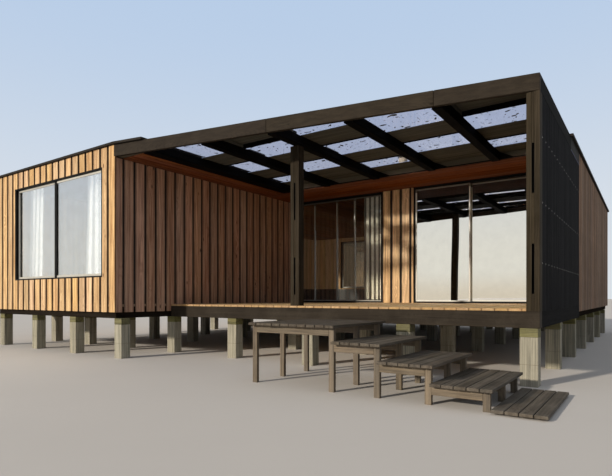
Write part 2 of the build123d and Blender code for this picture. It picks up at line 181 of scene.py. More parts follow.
def cutAway(piece, cutter):
    cut = piece.modifiers.new("cut", "BOOLEAN")
    cut.operation, cut.solver, cut.object = "DIFFERENCE", "EXACT", cutter
    pickOnly(piece)
    bpy.ops.object.modifier_apply(modifier=cut.name)
    bpy.data.objects.remove(cutter)


def seat(piece, material, slot, body="house", stands=()):
    piece.data.materials.clear()
    piece.data.materials.append(material)
    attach(piece, body)
    if stands:
        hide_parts(*stands)
    return piece


def assemble(name, parts, material, slot, seed=None, stands=()):
    # one piece of the house from its parts; timber gets its grain
    piece = joinAs(name, parts)
    if seed is not None:
        markGrain(piece, seed)
    return seat(piece, material, slot, stands=stands)


def mergedCopy(name):
    # a copy of a CAD node: its triangles are followed from edge to edge, and each solid is merged
    mesh = nodes[name].data
    corners = [tuple(round(c, 5) for c in vertex.co) for vertex in mesh.vertices]
    faces = [[corners[k] for k in face.vertices] for face in mesh.polygons]
    meetings = {}
    for number, face in enumerate(faces):
        for pair in zip(face, face[1:] + face[:1]):
            meetings.setdefault(frozenset(pair), []).append(number)
    places, outlines, owner = [], [], [None] * len(faces)
    for start in range(len(faces)):
        if owner[start] is not None:
            continue
        owner[start], ahead, index = start, [start], {}
        while ahead:
            face = faces[ahead.pop()]
            for spot in face:
                if spot not in index:
                    index[spot] = len(places)
                    places.append(spot)
            outlines.append([index[spot] for spot in face])
            for pair in zip(face, face[1:] + face[:1]):
                sharers = meetings[frozenset(pair)]
                if len(sharers) == 2:  # an edge that touching solids share is not crossed
                    for other in sharers:
                        if owner[other] is None:
                            owner[other] = start
                            ahead.append(other)
    merged = bpy.data.meshes.new(name)
    merged.from_pydata(places, [], outlines)
    piece = bpy.data.objects.new("dressed_" + name, merged)
    bpy.context.collection.objects.link(piece)
    return piece


def solidBoxes(name):
    # lowest and highest corner of each solid in a node
    piece = mergedCopy(name)
    boxes = [extent(piece.data, solid) for solid in looseTimbers(piece.data)]
    bpy.data.objects.remove(piece)
    return boxes


def moveSome(piece, chosen, shift):
    # moves the vertices whose numbers are given
    mesh = piece.data
    pickOnly(piece)
    mesh.vertices.foreach_set("select", [k in chosen for k in range(len(mesh.vertices))])
    for group in (mesh.edges, mesh.polygons):
        group.foreach_set("select", [False] * len(group))
    bpy.ops.object.mode_set(mode="EDIT")
    bpy.ops.mesh.select_mode(type="VERT")
    bpy.ops.transform.translate(value=shift)
    bpy.ops.object.mode_set(mode="OBJECT")


# The upper front edge of each canopy panel behind a pane is planed back, so that the sky shows up to the
# pane's edge
panelSlope = 0.240
paneBoxes = solidBoxes("canopy_glass")


def slopePanels(piece):
    mesh, chosen, close, seam = piece.data, set(), 0.001, 0.006
    for solid in looseTimbers(mesh):
        low, high = extent(mesh, solid)
        if any(abs(back.y - low.y) < seam and abs(front.x - low.x) < close for front, back in paneBoxes):
            spots = ((k, mesh.vertices[k].co) for k in solid)
            chosen.update(k for k, spot in spots if spot.y < low.y + close and spot.z > high.z - close)
    moveSome(piece, chosen, (0, panelSlope, 0))


def dressNode(name, material, slot, chamfer, body="house"):
    # the node's own solids with their edges eased
    piece = mergedCopy(name)
    if name == "canopy_panels":
        slopePanels(piece)
    pickOnly(piece)
    bpy.ops.object.mode_set(mode="EDIT")
    bpy.ops.mesh.select_all(action="SELECT")
    bpy.ops.mesh.dissolve_limited(angle_limit=math.radians(1))
    bpy.ops.object.mode_set(mode="OBJECT")
    easeEdges(chamfer, clamp=True)
    markGrain(piece, name)
    return seat(piece, material, slot, body, stands=(name,))


# Node helpers; they find the node tree by the sockets they are given

def feed(socket, value):
    if isinstance(value, bpy.types.NodeSocket):
        socket.id_data.links.new(value, socket)
    else:
        socket.default_value = value


def addNode(tree, kind, feeds=None, **settings):
    node = tree.nodes.new("ShaderNode" + kind)
    for key, value in settings.items():
        setattr(node, key, value)
    for key, value in (feeds or {}).items():
        feed(node.inputs[key], value)
    return node


def addMath(kind, operation, *values):
    tree = next(value for value in values if isinstance(value, bpy.types.NodeSocket)).id_data
    return addNode(tree, kind, dict(enumerate(values)), operation=operation)


def sums(operation, *values):
    return addMath("Math", operation, *values).outputs[0]


def times(a, b):
    return sums("MULTIPLY", a, b)


def minus(a, b):
    return sums("SUBTRACT", a, b)


def over(value, edge):
    return sums("GREATER_THAN", value, edge)


def under(value, edge):
    return sums("LESS_THAN", value, edge)


def mixIn(value, share, base):
    # value times share, plus base
    return sums("MULTIPLY_ADD", value, share, base)


def vectors(operation, a, b):
    return addMath("VectorMath", operation, a, b).outputs[0]


def stretch(vector, by):
    return vectors("MULTIPLY", vector, by)


def xyz(vector):
    return addNode(vector.id_data, "SeparateXYZ", {"Vector": vector}).outputs


def channels(colour):
    return addNode(colour.id_data, "SeparateColor", {"Color": colour}).outputs


def draws(seed):
    # three random numbers from one
    white = addNode(seed.id_data, "TexWhiteNoise", {"W": seed}, noise_dimensions="1D")
    return channels(white.outputs["Color"])


def noise(vector, scale, detail, roughness=0.5):
    feeds = {"Vector": vector, "Scale": scale, "Detail": detail, "Roughness": roughness}
    return addNode(vector.id_data, "TexNoise", feeds).outputs["Fac"]


def spread(value, low, high, newLow=0.0, newHigh=1.0):
    feeds = {"Value": value, "From Min": low, "From Max": high, "To Min": newLow, "To Max": newHigh}
    return addNode(value.id_data, "MapRange", feeds, interpolation_type="SMOOTHSTEP").outputs[0]


def blend(share, a, b):
    mix = addNode(share.id_data, "Mix", {0: share}, data_type="RGBA")
    for index, value in ((6, a), (7, b)):
        feed(mix.inputs[index], value if isinstance(value, bpy.types.NodeSocket) else (*value[:3], 1))
    return mix.outputs[2]


def startGroup(name, takes, gives):
    # takes: the inputs and their values, None for coordinates
    group = bpy.data.node_groups.new(name, "ShaderNodeTree")
    for label, value in takes.items():
        kind = "NodeSocketVector" if value is None else "NodeSocketFloat"
        socket = group.interface.new_socket(name=label, in_out="INPUT", socket_type=kind)
        if value is not None:
            socket.default_value = value
    for label in gives:
        group.interface.new_socket(name=label, in_out="OUTPUT", socket_type="NodeSocketFloat")
    return group, group.nodes.new("NodeGroupInput").outputs


def endGroup(group, **values):
    gives = group.nodes.new("NodeGroupOutput").inputs
    for label, value in values.items():
        group.links.new(value, gives[label])
    return group


def useGroup(tree, group, **feeds):
    node = addNode(tree, "Group", node_tree=group)
    for key, value in feeds.items():
        feed(node.inputs[key], value)
    return node.outputs


# Sawn timber with the grain along Z: fibres, year rings round a heart behind the face, knots and streaks
def makeTimberGroup():
    takes = {"Vector": None, "Seed": 0.0, "Fibre": 110.0, "Rings": 90.0, "Knots": 0.4}
    group, given = startGroup("timberGrain", takes, ("Fibre", "Rings", "Knots", "Streaks", "Height"))
    apart = addNode(group, "VectorMath", {0: (37.0, 19.0, 53.0), "Scale": given["Seed"]}, operation="SCALE")
    point = vectors("ADD", given["Vector"], apart.outputs[0])
    fibre = noise(stretch(point, (1, 1, 0.05)), given["Fibre"], 4.0, 0.65)
    streak = noise(stretch(point, (1, 1, 0.035)), 26.0, 3.0, 0.6)
    feeds = {"Vector": stretch(point, (6.0, 6.0, 2.2)), "Scale": 1.0, "Randomness": 0.9}
    cells = addNode(group, "TexVoronoi", feeds).outputs
    present = under(channels(cells["Color"])[0], given["Knots"])
    knot, halo = (
        times(spread(cells["Distance"], far, near), present)
        for far, near in ((0.12, 0.05), (0.42, 0.08))
    )
    warp = noise(stretch(point, (1, 1, 0.12)), 3.2, 2.0)
    drawn = draws(given["Seed"])
    heart = {0: mixIn(drawn[0], 0.09, 0.05), 1: mixIn(drawn[1], 0.16, -0.08)}
    across = vectors("ADD", given["Vector"], addNode(group, "CombineXYZ", heart).outputs[0])
    across = stretch(across, (1, 1, 0))
    away = addNode(group, "VectorMath", {0: across}, operation="LENGTH").outputs["Value"]
    away = mixIn(halo, 0.016, mixIn(warp, 0.09, away))
    wave = sums("SINE", times(times(away, given["Rings"]), 2 * math.pi))
    ring = mixIn(wave, 0.5, 0.5)
    height = mixIn(fibre, 0.7, times(ring, 0.35))
    height = minus(height, times(knot, 0.25))
    return endGroup(group, Fibre=fibre, Rings=ring, Knots=knot, Streaks=streak, Height=height)


# Boards laid side by side: a number for each board and a line along each joint
def makeBoardGroup():
    takes = {"Across": 0.0, "Pitch": 0.15, "Joint": 0.003}
    group, given = startGroup("boardRows", takes, ("Seed", "Joint"))
    run = sums("DIVIDE", given["Across"], given["Pitch"])
    number = {"W": sums("FLOOR", run)}
    seed = addNode(group, "TexWhiteNoise", number, noise_dimensions="1D").outputs["Value"]
    edge = times(sums("PINGPONG", run, 0.5), given["Pitch"])
    return endGroup(group, Seed=seed, Joint=under(edge, given["Joint"]))


# Dust and splashes: thicker low down, broken up by two sizes of blotch
def makeDustGroup():
    takes = {"Vector": None, "Amount": 0.3, "Foot": 0.0, "Reach": 1.0}
    group, given = startGroup("dust", takes, ("Mask", "Blotch"))
    wide = noise(given["Vector"], 2.3, 5.0, 0.6)
    fine = noise(given["Vector"], 38.0, 3.0, 0.7)
    level = minus(xyz(given["Vector"])[2], given["Foot"])
    low = minus(1.0, sums("DIVIDE", level, given["Reach"]))
    low = addNode(group, "Clamp", {"Value": low}).outputs[0]
    mask = times(mixIn(low, 0.7, 0.3), spread(wide, 0.38, 0.68))
    mask = times(mask, spread(fine, 0.3, 0.7, 0.4, 1.0))
    return endGroup(group, Mask=times(mask, given["Amount"]), Blotch=wide)


# Which side of the shell a wall's point is on: 1 inside the rooms
def makeRoomGroup():
    group, given = startGroup("roomSide", {"Vector": None}, ("Inside",))
    spot, wall = xyz(given["Vector"]), 0.12
    inside = over(spot[0], leftFace + wall)
    inside = times(inside, under(spot[0], rightFace - wall))
    inside = times(inside, over(spot[1], frontFace + wall))
    inside = times(inside, under(spot[1], rearFace - wall))
    onDeck = times(over(spot[0], porchFace - wall), under(spot[1], doorFace + wall))
    return endGroup(group, Inside=times(inside, minus(1.0, onDeck)))


# Dirt and painted shade drawn into the long edges of a board, darkening them beside the gaps, from its
# middle's coordinates
def makeEdgeDirtShadeGroup():
    takes = {"Vector": None, "Half": 0.1, "Reach": 0.02, "Amount": 0.4}
    group, given = startGroup("edgeDirtAndShade", takes, ("Mask",))
    inward = minus(given["Half"], sums("ABSOLUTE", xyz(given["Vector"])[1]))
    ragged = noise(stretch(given["Vector"], (1, 1, 0.15)), 30.0, 3.0)
    share = sums("ADD", sums("DIVIDE", inward, given["Reach"]), mixIn(ragged, 1.6, -0.8))
    return endGroup(group, Mask=times(spread(share, 1.1, 0.0), given["Amount"]))


# Leaves and twigs lying on a pane: slivers, one to a cell, each turned its own way
def makeLitterGroup():
    takes = {"Vector": None, "Cells": 8.0, "Share": 0.5, "Length": 0.04}
    group, given = startGroup("leafLitter", takes, ("Mask",))
    wander = noise(given["Vector"], 14.0, 3.0).node.outputs["Color"]
    bent = vectors("ADD", given["Vector"], stretch(wander, (0.03, 0.03, 0)))
    flat = stretch(bent, (1, 1, 0))
    feeds = {"Vector": flat, "Scale": given["Cells"], "Randomness": 1.0}
    cells = addNode(group, "TexVoronoi", feeds, voronoi_dimensions="2D").outputs
    drawn = channels(cells["Color"])
    spin = times(drawn[0], math.pi)
    away = xyz(vectors("SUBTRACT", flat, cells["Position"]))
    cosine, sine = sums("COSINE", spin), sums("SINE", spin)
    along = sums("ADD", times(away[0], cosine), times(away[1], sine))
    aside = minus(times(away[1], cosine), times(away[0], sine))
    reach = times(given["Length"], mixIn(drawn[1], 0.9, 0.25))
    width = times(reach, mixIn(drawn[2], 0.40, 0.14))
    squares = (
        sums("POWER", sums("ABSOLUTE", sums("DIVIDE", far, half)), 2.0)
        for far, half in ((along, reach), (aside, width))
    )
    present = under(sums("FRACT", times(drawn[1], 7.31)), given["Share"])
    sliver = spread(sums("ADD", *squares), 1.15, 0.85)
    return endGroup(group, Mask=times(sliver, present))


timberGroup, boardGroup, dustGroup = makeTimberGroup(), makeBoardGroup(), makeDustGroup()
roomGroup, edgeShadeGroup, litterGroup = makeRoomGroup(), makeEdgeDirtShadeGroup(), makeLitterGroup()


def startMaterial(name):
    material = bpy.data.materials.new(name)
    material.use_nodes = True
    tree = material.node_tree
    return material, tree, tree.nodes["Principled BSDF"], addNode(tree, "TexCoord").outputs["Object"]


def connect(shader, **feeds):
    for key, value in feeds.items():
        feed(shader.inputs[key.replace("_", " ")], value)


def bumpFrom(height, strength, distance):
    feeds = {"Height": height, "Strength": strength, "Distance": distance}
    return addNode(height.id_data, "Bump", feeds).outputs[0]


def boardsAlongY(tree, place, rows):
    # boards that are only drawn: their number, their joints and coordinates with Z along them
    pitch, joint = rows
    spot = xyz(place)
    found = useGroup(tree, boardGroup, Across=spot[0], Pitch=pitch, Joint=joint)
    along = addNode(tree, "CombineXYZ", {0: spot[0], 1: spot[2], 2: spot[1]}).outputs[0]
    return found["Seed"], found["Joint"], along


def timberColour(tree, place, look, seed):
    grain = useGroup(
        tree, timberGroup, Vector=place, Seed=seed, Fibre=look.get("fibre", 110.0),
        Rings=look.get("rings", 90.0), Knots=look.get("knots", 0.4),
    )
    share = mixIn(grain["Rings"], 0.22, times(grain["Streaks"], 1.3))
    share = spread(mixIn(grain["Fibre"], 0.45, share), 0.62, 1.36)
    colour = blend(share, look["dark"], look["light"])
    colour = blend(grain["Knots"], colour, look["knot"])
    drawn, tone, turn = draws(seed), look.get("tone", 0.2), 0.006
    feeds = {
        "Value": mixIn(drawn[0], 2 * tone, 1 - tone), "Hue": mixIn(drawn[1], 2 * turn, 0.5 - turn),
        "Saturation": mixIn(drawn[2], 0.25, 0.9), "Color": colour,
    }
    return addNode(tree, "HueSaturation", feeds).outputs[0], grain


def onlyMirrored(tree):
    # 1 on a ray that a mirror has turned
    paths = addNode(tree, "LightPath").outputs
    feeds = {0: paths["Is Glossy Ray"], 1: paths["Is Transmission Ray"]}
    return addNode(tree, "Math", feeds, operation="SUBTRACT", use_clamp=True).outputs[0]


def timberMaterial(name, look):
    material, tree, shader, place = startMaterial(name)
    joint = None
    if "rows" in look:
        seed, joint, along = boardsAlongY(tree, place, look["rows"])
    else:
        seed = addNode(tree, "Attribute", attribute_name="boardSeed").outputs["Fac"]
        along = addNode(tree, "Attribute", attribute_name="grainPlace").outputs["Vector"]
    colour, grain = timberColour(tree, along, look, seed)
    height = grain["Height"]
    if joint:
        colour = blend(joint, colour, [c * 0.15 for c in look["dark"]])
        height = minus(height, times(joint, 1.5))
    # the long edges are darkened: partly dirt, partly painted shade of the gaps between boards
    if "edge" in look:
        half, reach, amount, tint = look["edge"]
        edgeDirtShade = useGroup(tree, edgeShadeGroup, Vector=along, Half=half, Reach=reach, Amount=amount)
        colour = blend(edgeDirtShade["Mask"], colour, tint)
    foot, reach, amount, tint = look.get("dust", (0.0, 2.0, 0.15, (0.45, 0.40, 0.33)))
    dust = useGroup(tree, dustGroup, Vector=place, Amount=amount, Foot=foot, Reach=reach)["Mask"]
    colour = blend(dust, colour, tint)
    if "endStainAndShade" in look:  # end grain is tinted: partly stain, partly painted shade
        half, tint = look["endStainAndShade"]
        atEnd = over(sums("ABSOLUTE", xyz(along)[2]), half)
        colour = blend(times(atEnd, 0.6), colour, tint)
    if "mirrored" in look:  # painted reflection: on rays that a mirror has turned, what hangs under the canopy is drawn darker, towards black, so it stays dark in the doors' reflection
        colour = blend(times(onlyMirrored(tree), look["mirrored"]), colour, (0, 0, 0))
    smooth, rough = look.get("roughness", (0.55, 0.8))
    roughness = mixIn(dust, 0.2, mixIn(grain["Fibre"], rough - smooth, smooth))
    connect(
        shader, Base_Color=colour, Roughness=roughness, Specular_IOR_Level=look.get("gloss", 0.4),
        Normal=bumpFrom(height, look.get("bump", 0.5), 0.0025),
    )
    return material


# Folded or powder coated metal: a faint orange peel, dust and slight blotches
def metalMaterial(name, look):
    material, tree, shader, place = startMaterial(name)
    peel = noise(place, 420.0, 2.0)
    dust = useGroup(tree, dustGroup, Vector=place, Amount=look.get("dust", 0.25), Foot=0.8, Reach=3.0)
    feeds = {"Value": mixIn(dust["Blotch"], 0.3, 0.85), "Color": (*look["colour"], 1)}
    colour = addNode(tree, "HueSaturation", feeds).outputs[0]
    colour = blend(dust["Mask"], colour, look.get("dustTint", (0.5, 0.46, 0.4)))
    if "head" in look:  # the rail under the head is drawn dark: painted shade
        level, tint = look["head"]
        colour = blend(spread(xyz(place)[2], level - 0.01, level), colour, tint)
    connect(
        shader, Base_Color=colour, Roughness=mixIn(dust["Blotch"], 0.25, look["roughness"]),
        Normal=bumpFrom(peel, 0.12, 0.0006), Metallic=look.get("metal", 0.0),
        Specular_IOR_Level=look.get("gloss", 0.5),
    )
    return material


# Glass, mirrored by its coating; the sun shines through to what stands behind it
def glassMaterial(name, look):
    material, tree, shader, place = startMaterial(name)
    roll = noise(stretch(place, look["wave"]), 1.0, 1.0)
    film = noise(place, 5.0, 4.0, 0.7)
    roughness = spread(film, 0.5, 0.8, 0.0, look["film"])
    colour = blend(spread(film, 0.3, 0.8), look["tint"], [c * 0.95 for c in look["tint"]])
    depth = xyz(place)[1]
    if "rear" in look:  # the rear windows are tinted
        colour = blend(over(depth, rearFace - 0.5), colour, look["rear"])
    for cells, share, length in look.get("litter", ()):
        leaf = useGroup(tree, litterGroup, Vector=place, Cells=cells, Share=share, Length=length)["Mask"]
        colour = blend(leaf, colour, (0.010, 0.008, 0.006))
        roughness = sums("MAXIMUM", roughness, times(leaf, 0.9))
    connect(
        shader, Base_Color=colour, Roughness=roughness, Normal=bumpFrom(roll, look["bump"], 0.01),
        Metallic=look["mirror"], Transmission_Weight=1.0, IOR=look.get("ior", 1.5),
    )
    clear = addNode(tree, "BsdfTransparent", {"Color": (*look["shade"], 1)}).outputs[0]
    lit = addNode(tree, "LightPath").outputs["Is Shadow Ray"]
    mix = addNode(tree, "MixShader", {0: lit, 1: shader.outputs[0], 2: clear})
    if "slits" in look:  # painted reflection: on rays a mirror has turned, most of each pane is drawn black as painted shade, so the doors' reflection shows only a strip of each pane
        edge, pitch, share = look["slits"]
        run = sums("FRACT", sums("DIVIDE", minus(depth, edge), pitch))
        mirrorShade = times(under(run, 1 - share), onlyMirrored(tree))
        black = addNode(tree, "BsdfDiffuse", {"Color": (0.004, 0.004, 0.004, 1)}).outputs[0]
        mix = addNode(tree, "MixShader", {0: mirrorShade, 1: mix.outputs[0], 2: black})
    tree.links.new(mix.outputs[0], tree.nodes["Material Output"].inputs["Surface"])
    return material


# Loose woven curtain cloth: the weave follows the sheet's own UV map, in metres
def clothMaterial(name, look):
    material, tree, shader, _ = startMaterial(name)
    spot = xyz(addNode(tree, "UVMap", uv_map="cloth").outputs[0])
    warp, weft = (
        mixIn(sums("SINE", times(value, 2 * math.pi * look["threads"])), 0.5, 0.5)
        for value in spot[:2]
    )
    uv = addNode(tree, "CombineXYZ", {0: spot[0], 1: times(spot[1], 0.06)}).outputs[0]
    slub = noise(uv, 160.0, 3.0)
    colour = blend(spread(slub, 0.3, 0.7), look["dark"], look["light"])
    # the pleats' hollows are darkened: painted shade
    pleat = addNode(tree, "Attribute", attribute_name="pleat").outputs["Fac"]
    colour = blend(spread(pleat, 0.3, -0.8), colour, look["fold"])
    height = mixIn(slub, 0.8, times(warp, weft))
    # the cloth glows by its own colour: painted daylight shining through it
    connect(
        shader, Base_Color=colour, Roughness=mixIn(slub, 0.1, 0.82),
        Normal=bumpFrom(height, 0.35, 0.0008), Emission_Color=colour,
        Emission_Strength=look["paintedDaylight"], Sheen_Weight=0.25, Sheen_Roughness=0.5,
    )
    return material


# Roofing felt with mineral grit; the slab's edges are painted, and the rooms' ceilings boarded
def feltMaterial(name, look):
    material, tree, shader, place = startMaterial(name)
    speck = channels(addNode(tree, "TexVoronoi", {"Vector": place, "Scale": 260.0}).outputs["Color"])[0]
    blotch = noise(place, 1.1, 6.0, 0.65)
    felt = blend(speck, look["dark"], look["light"])
    felt = blend(spread(blotch, 0.4, 0.75, 0.0, 0.5), felt, look["dust"])
    seed, joint, along = boardsAlongY(tree, place, look["rows"])
    boards, grain = timberColour(tree, along, look["ceiling"], seed)
    boards = blend(joint, boards, (0.02, 0.012, 0.008))
    inside = useGroup(tree, roomGroup, Vector=place)["Inside"]
    spot = xyz(place)
    eaves = blend(over(spot[0], rightFace - 0.03), look["eaves"], look["verge"])
    above = over(spot[2], roofLevel - 0.002)
    colour = blend(above, blend(inside, eaves, boards), felt)
    height = mixIn(grain["Height"], 0.3, times(speck, above))
    connect(
        shader, Base_Color=colour, Roughness=mixIn(above, 0.3, 0.62),
        Normal=bumpFrom(height, 0.5, 0.002), Specular_IOR_Level=look["gloss"],
    )
    return material


# Wall frames: dark membrane behind the boards' gaps, upright lining boards in the rooms that glow faintly as
# painted daylight
def wallMaterial(name, look):
    material, tree, shader, place = startMaterial(name)
    inside = useGroup(tree, roomGroup, Vector=place)["Inside"]
    spot = xyz(place)
    pitch, joint = look["rows"]
    rows = useGroup(tree, boardGroup, Across=sums("ADD", spot[0], spot[1]), Pitch=pitch, Joint=joint)
    boards, grain = timberColour(tree, place, look["lining"], rows["Seed"])
    boards = blend(rows["Joint"], boards, (0.03, 0.015, 0.008))
    level, tint = look["base"]  # under the sills the lining is drawn dark
    boards = blend(under(spot[2], level), boards, tint)
    membrane = blend(noise(place, 9.0, 4.0), look["dark"], look["light"])
    connect(
        shader, Base_Color=blend(inside, membrane, boards), Roughness=mixIn(inside, -0.3, 0.85),
        Normal=bumpFrom(mixIn(rows["Joint"], -1.0, grain["Height"]), 0.35, 0.002),
        Emission_Color=blend(inside, (0, 0, 0), boards), Emission_Strength=look["paintedDaylight"],
    )
    return material


# Deck boards as the CAD lays them, and how deep the end grain of a board shows
deckRows = {"pitch": 0.163, "width": 0.158}
endReach = 0.004

# Looks that several timbers share
sawn = {"fibre": 120.0, "bump": 0.7, "roughness": (0.6, 0.85)}
fine = {"fibre": 150.0, "rings": 60.0, "knots": 0.25, "bump": 0.4}
black = {**fine, "knots": 0.1, "bump": 0.45, "gloss": 0.02}
rough = {"fibre": 80.0, "rings": 45.0}

timberLooks = {
    # sawn boards of one timber: pale on the front; darkened as painted shade under the canopy, and weathered
    # grey and darkened as painted shade on the rear and right
    "sunnyBoards": {
        **sawn, "dark": (0.31, 0.158, 0.064), "light": (0.89, 0.62, 0.33), "knot": (0.11, 0.044, 0.018),
        "tone": 0.17, "knots": 0.55, "edge": (boardWidth / 2, 0.022, 0.85, (0.07, 0.030, 0.010)),
        "dust": (0.8, 0.9, 0.18, (0.55, 0.40, 0.25)),
    },
    "porchBoards": {
        **sawn, "dark": (0.24, 0.116, 0.070), "light": (0.61, 0.37, 0.25), "knot": (0.08, 0.038, 0.026),
        "tone": 0.15, "knots": 0.6, "edge": (boardWidth / 2, 0.020, 0.6, (0.06, 0.030, 0.019)),
        "dust": (0.8, 0.9, 0.2, (0.35, 0.27, 0.20)),
    },
    "weatheredBoards": {
        **sawn, "dark": (0.105, 0.065, 0.043), "light": (0.42, 0.275, 0.187), "knot": (0.07, 0.04, 0.026),
        "tone": 0.28, "knots": 0.45, "edge": (boardWidth / 2, 0.024, 0.95, (0.035, 0.022, 0.016)),
        "bump": 0.8, "roughness": (0.7, 0.9), "gloss": 0.15, "dust": (0.8, 0.9, 0.2, (0.40, 0.34, 0.28)),
    },
    "darkTimber": {
        **fine, "dark": (0.0195, 0.0145, 0.0105), "light": (0.0355, 0.0270, 0.0190),
        "knot": (0.012, 0.009, 0.006), "tone": 0.08, "dust": (0.7, 3.5, 0.10, (0.20, 0.17, 0.13)),
        "gloss": 0.08,
    },
    "postTimber": {
        **fine, "dark": (0.019, 0.0145, 0.009), "light": (0.053, 0.041, 0.028), "knot": (0.012, 0.009, 0.006),
        "tone": 0.16, "fibre": 130.0, "knots": 0.12, "bump": 0.5,
        "dust": (0.9, 2.5, 0.12, (0.17, 0.14, 0.10)), "gloss": 0.04,
    },
    "plinthTimber": {
        **fine, "dark": (0.012, 0.009, 0.0072), "light": (0.024, 0.019, 0.0145),
        "knot": (0.008, 0.006, 0.005), "tone": 0.08, "dust": (0.7, 1.0, 0.03, (0.15, 0.13, 0.10)),
        "gloss": 0.0,
    },
    "rafterTimber": {
        **black, "dark": (0.0024, 0.0024, 0.003), "light": (0.0070, 0.0066, 0.0066),
        "knot": (0.002, 0.002, 0.002), "bump": 0.35, "roughness": (0.55, 0.75),
        "dust": (3.4, 1.0, 0.03, (0.05, 0.047, 0.044)), "gloss": 0.012, "mirrored": 0.7,
    },
    "blackTimber": {
        **black, "dark": (0.0026, 0.0026, 0.0034), "light": (0.0080, 0.0080, 0.0094),
        "knot": (0.002, 0.002, 0.002), "tone": 0.1, "fibre": 140.0, "roughness": (0.65, 0.85),
        "dust": (0.6, 1.2, 0.06, (0.05, 0.045, 0.04)),
    },
    "blackBattens": {
        **black, "dark": (0.0070, 0.0071, 0.0084), "light": (0.0180, 0.0184, 0.0210),
        "knot": (0.003, 0.003, 0.003), "tone": 0.25, "knots": 0.15, "roughness": (0.6, 0.8),
        "dust": (0.9, 1.0, 0.06, (0.06, 0.055, 0.05)),
    },
    "frameTimber": {
        "dark": (0.065, 0.050, 0.034), "light": (0.20, 0.155, 0.105), "knot": (0.04, 0.028, 0.02),
        "tone": 0.15,
    },
    "deckBoards": {
        "dark": (0.46, 0.27, 0.115), "light": (0.97, 0.69, 0.34), "knot": (0.20, 0.10, 0.05), "tone": 0.22,
        "knots": 0.3, "edge": (deckRows["width"] / 2, 0.012, 0.85, (0.10, 0.05, 0.025)),
        "dust": (0.9, 0.4, 0.25, (0.66, 0.48, 0.29)),
        "endStainAndShade": ((deckHigh.y - deckLow.y) / 2 - endReach, (0.30, 0.17, 0.08)),
    },
    "floorBoards": {
        "dark": (0.16, 0.10, 0.055), "light": (0.34, 0.235, 0.14), "knot": (0.10, 0.06, 0.03), "tone": 0.12,
        "rows": (0.137, 0.0015), "knots": 0.2, "bump": 0.25, "roughness": (0.3, 0.45),
    },
    "soffitBoards": {
        "dark": (0.090, 0.029, 0.012), "light": (0.285, 0.100, 0.041), "knot": (0.06, 0.020, 0.010),
        "tone": 0.16, "knots": 0.2, "bump": 0.4, "roughness": (0.6, 0.8), "gloss": 0.02,
        "dust": (3.0, 1.0, 0.05, (0.3, 0.18, 0.12)), "mirrored": 0.86,
        "endStainAndShade": ((soffitHigh.x - soffitLow.x) / 2 - endReach, (0.08, 0.16, 0.30)),
    },
    "canopyBoard": {
        "dark": (0.056, 0.055, 0.048), "light": (0.116, 0.113, 0.097), "knot": (0.044, 0.041, 0.032),
        "tone": 0.12, "fibre": 70.0, "rings": 30.0, "knots": 0.1, "bump": 0.3,
        "dust": (3.0, 1.5, 0.2, (0.12, 0.11, 0.085)), "mirrored": 0.95, "gloss": 0.03,
    },
    "stepBoards": {
        "dark": (0.045, 0.036, 0.027), "light": (0.125, 0.103, 0.080), "knot": (0.035, 0.026, 0.019),
        "tone": 0.24, "knots": 0.35, "bump": 0.7, "roughness": (0.65, 0.9), "gloss": 0.2,
        "dust": (0.0, 1.0, 0.35, (0.25, 0.225, 0.19)),
    },
    "pileTimber": {
        **rough, "dark": (0.155, 0.147, 0.114), "light": (0.43, 0.395, 0.305), "knot": (0.09, 0.08, 0.06),
        "tone": 0.10, "knots": 0.3, "bump": 0.9, "roughness": (0.7, 0.95),
        "dust": (0.0, 0.5, 0.5, (0.42, 0.39, 0.32)),
    },
    "pileCapTimber": {
        **rough, "dark": (0.070, 0.064, 0.024), "light": (0.195, 0.178, 0.070), "knot": (0.05, 0.045, 0.018),
        "tone": 0.12, "bump": 0.7, "roughness": (0.65, 0.9),
    },
}
timber = {name: timberMaterial(name, look) for name, look in timberLooks.items()}

railHeight = 0.07
metalLooks = {
    "darkFrame": {"colour": (0.004, 0.004, 0.004), "roughness": 0.45, "dust": 0.04, "gloss": 0.08},
    # the door leaves' head rails are drawn dark, painted shade
    "paleFrame": {
        "colour": (0.80, 0.77, 0.69), "roughness": 0.32, "dust": 0.12,
        "head": (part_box("fixed_leaf")[1].z - railHeight, (0.20, 0.165, 0.13)),
    },
    "foldingFrame": {
        "colour": (0.36, 0.34, 0.29), "roughness": 0.32, "dust": 0.12,
        "head": (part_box("folding_door_leaves")[1].z - railHeight, (0.12, 0.10, 0.08)),
    },
    "sashFrame": {"colour": (0.50, 0.48, 0.43), "roughness": 0.36, "dust": 0.12},
    "roofEdge": {"colour": (0.018, 0.014, 0.011), "roughness": 0.6, "dust": 0.08, "gloss": 0.12},
    "flueEnamel": {"colour": (0.62, 0.55, 0.40), "roughness": 0.38, "dustTint": (0.25, 0.2, 0.14)},
    "railLacquer": {"colour": (0.72, 0.71, 0.68), "roughness": 0.3, "dust": 0.1},
    "screwSteel": {"colour": (0.42, 0.41, 0.40), "roughness": 0.4, "metal": 0.6, "dust": 0.2},
}
metal = {name: metalMaterial(name, look) for name, look in metalLooks.items()}

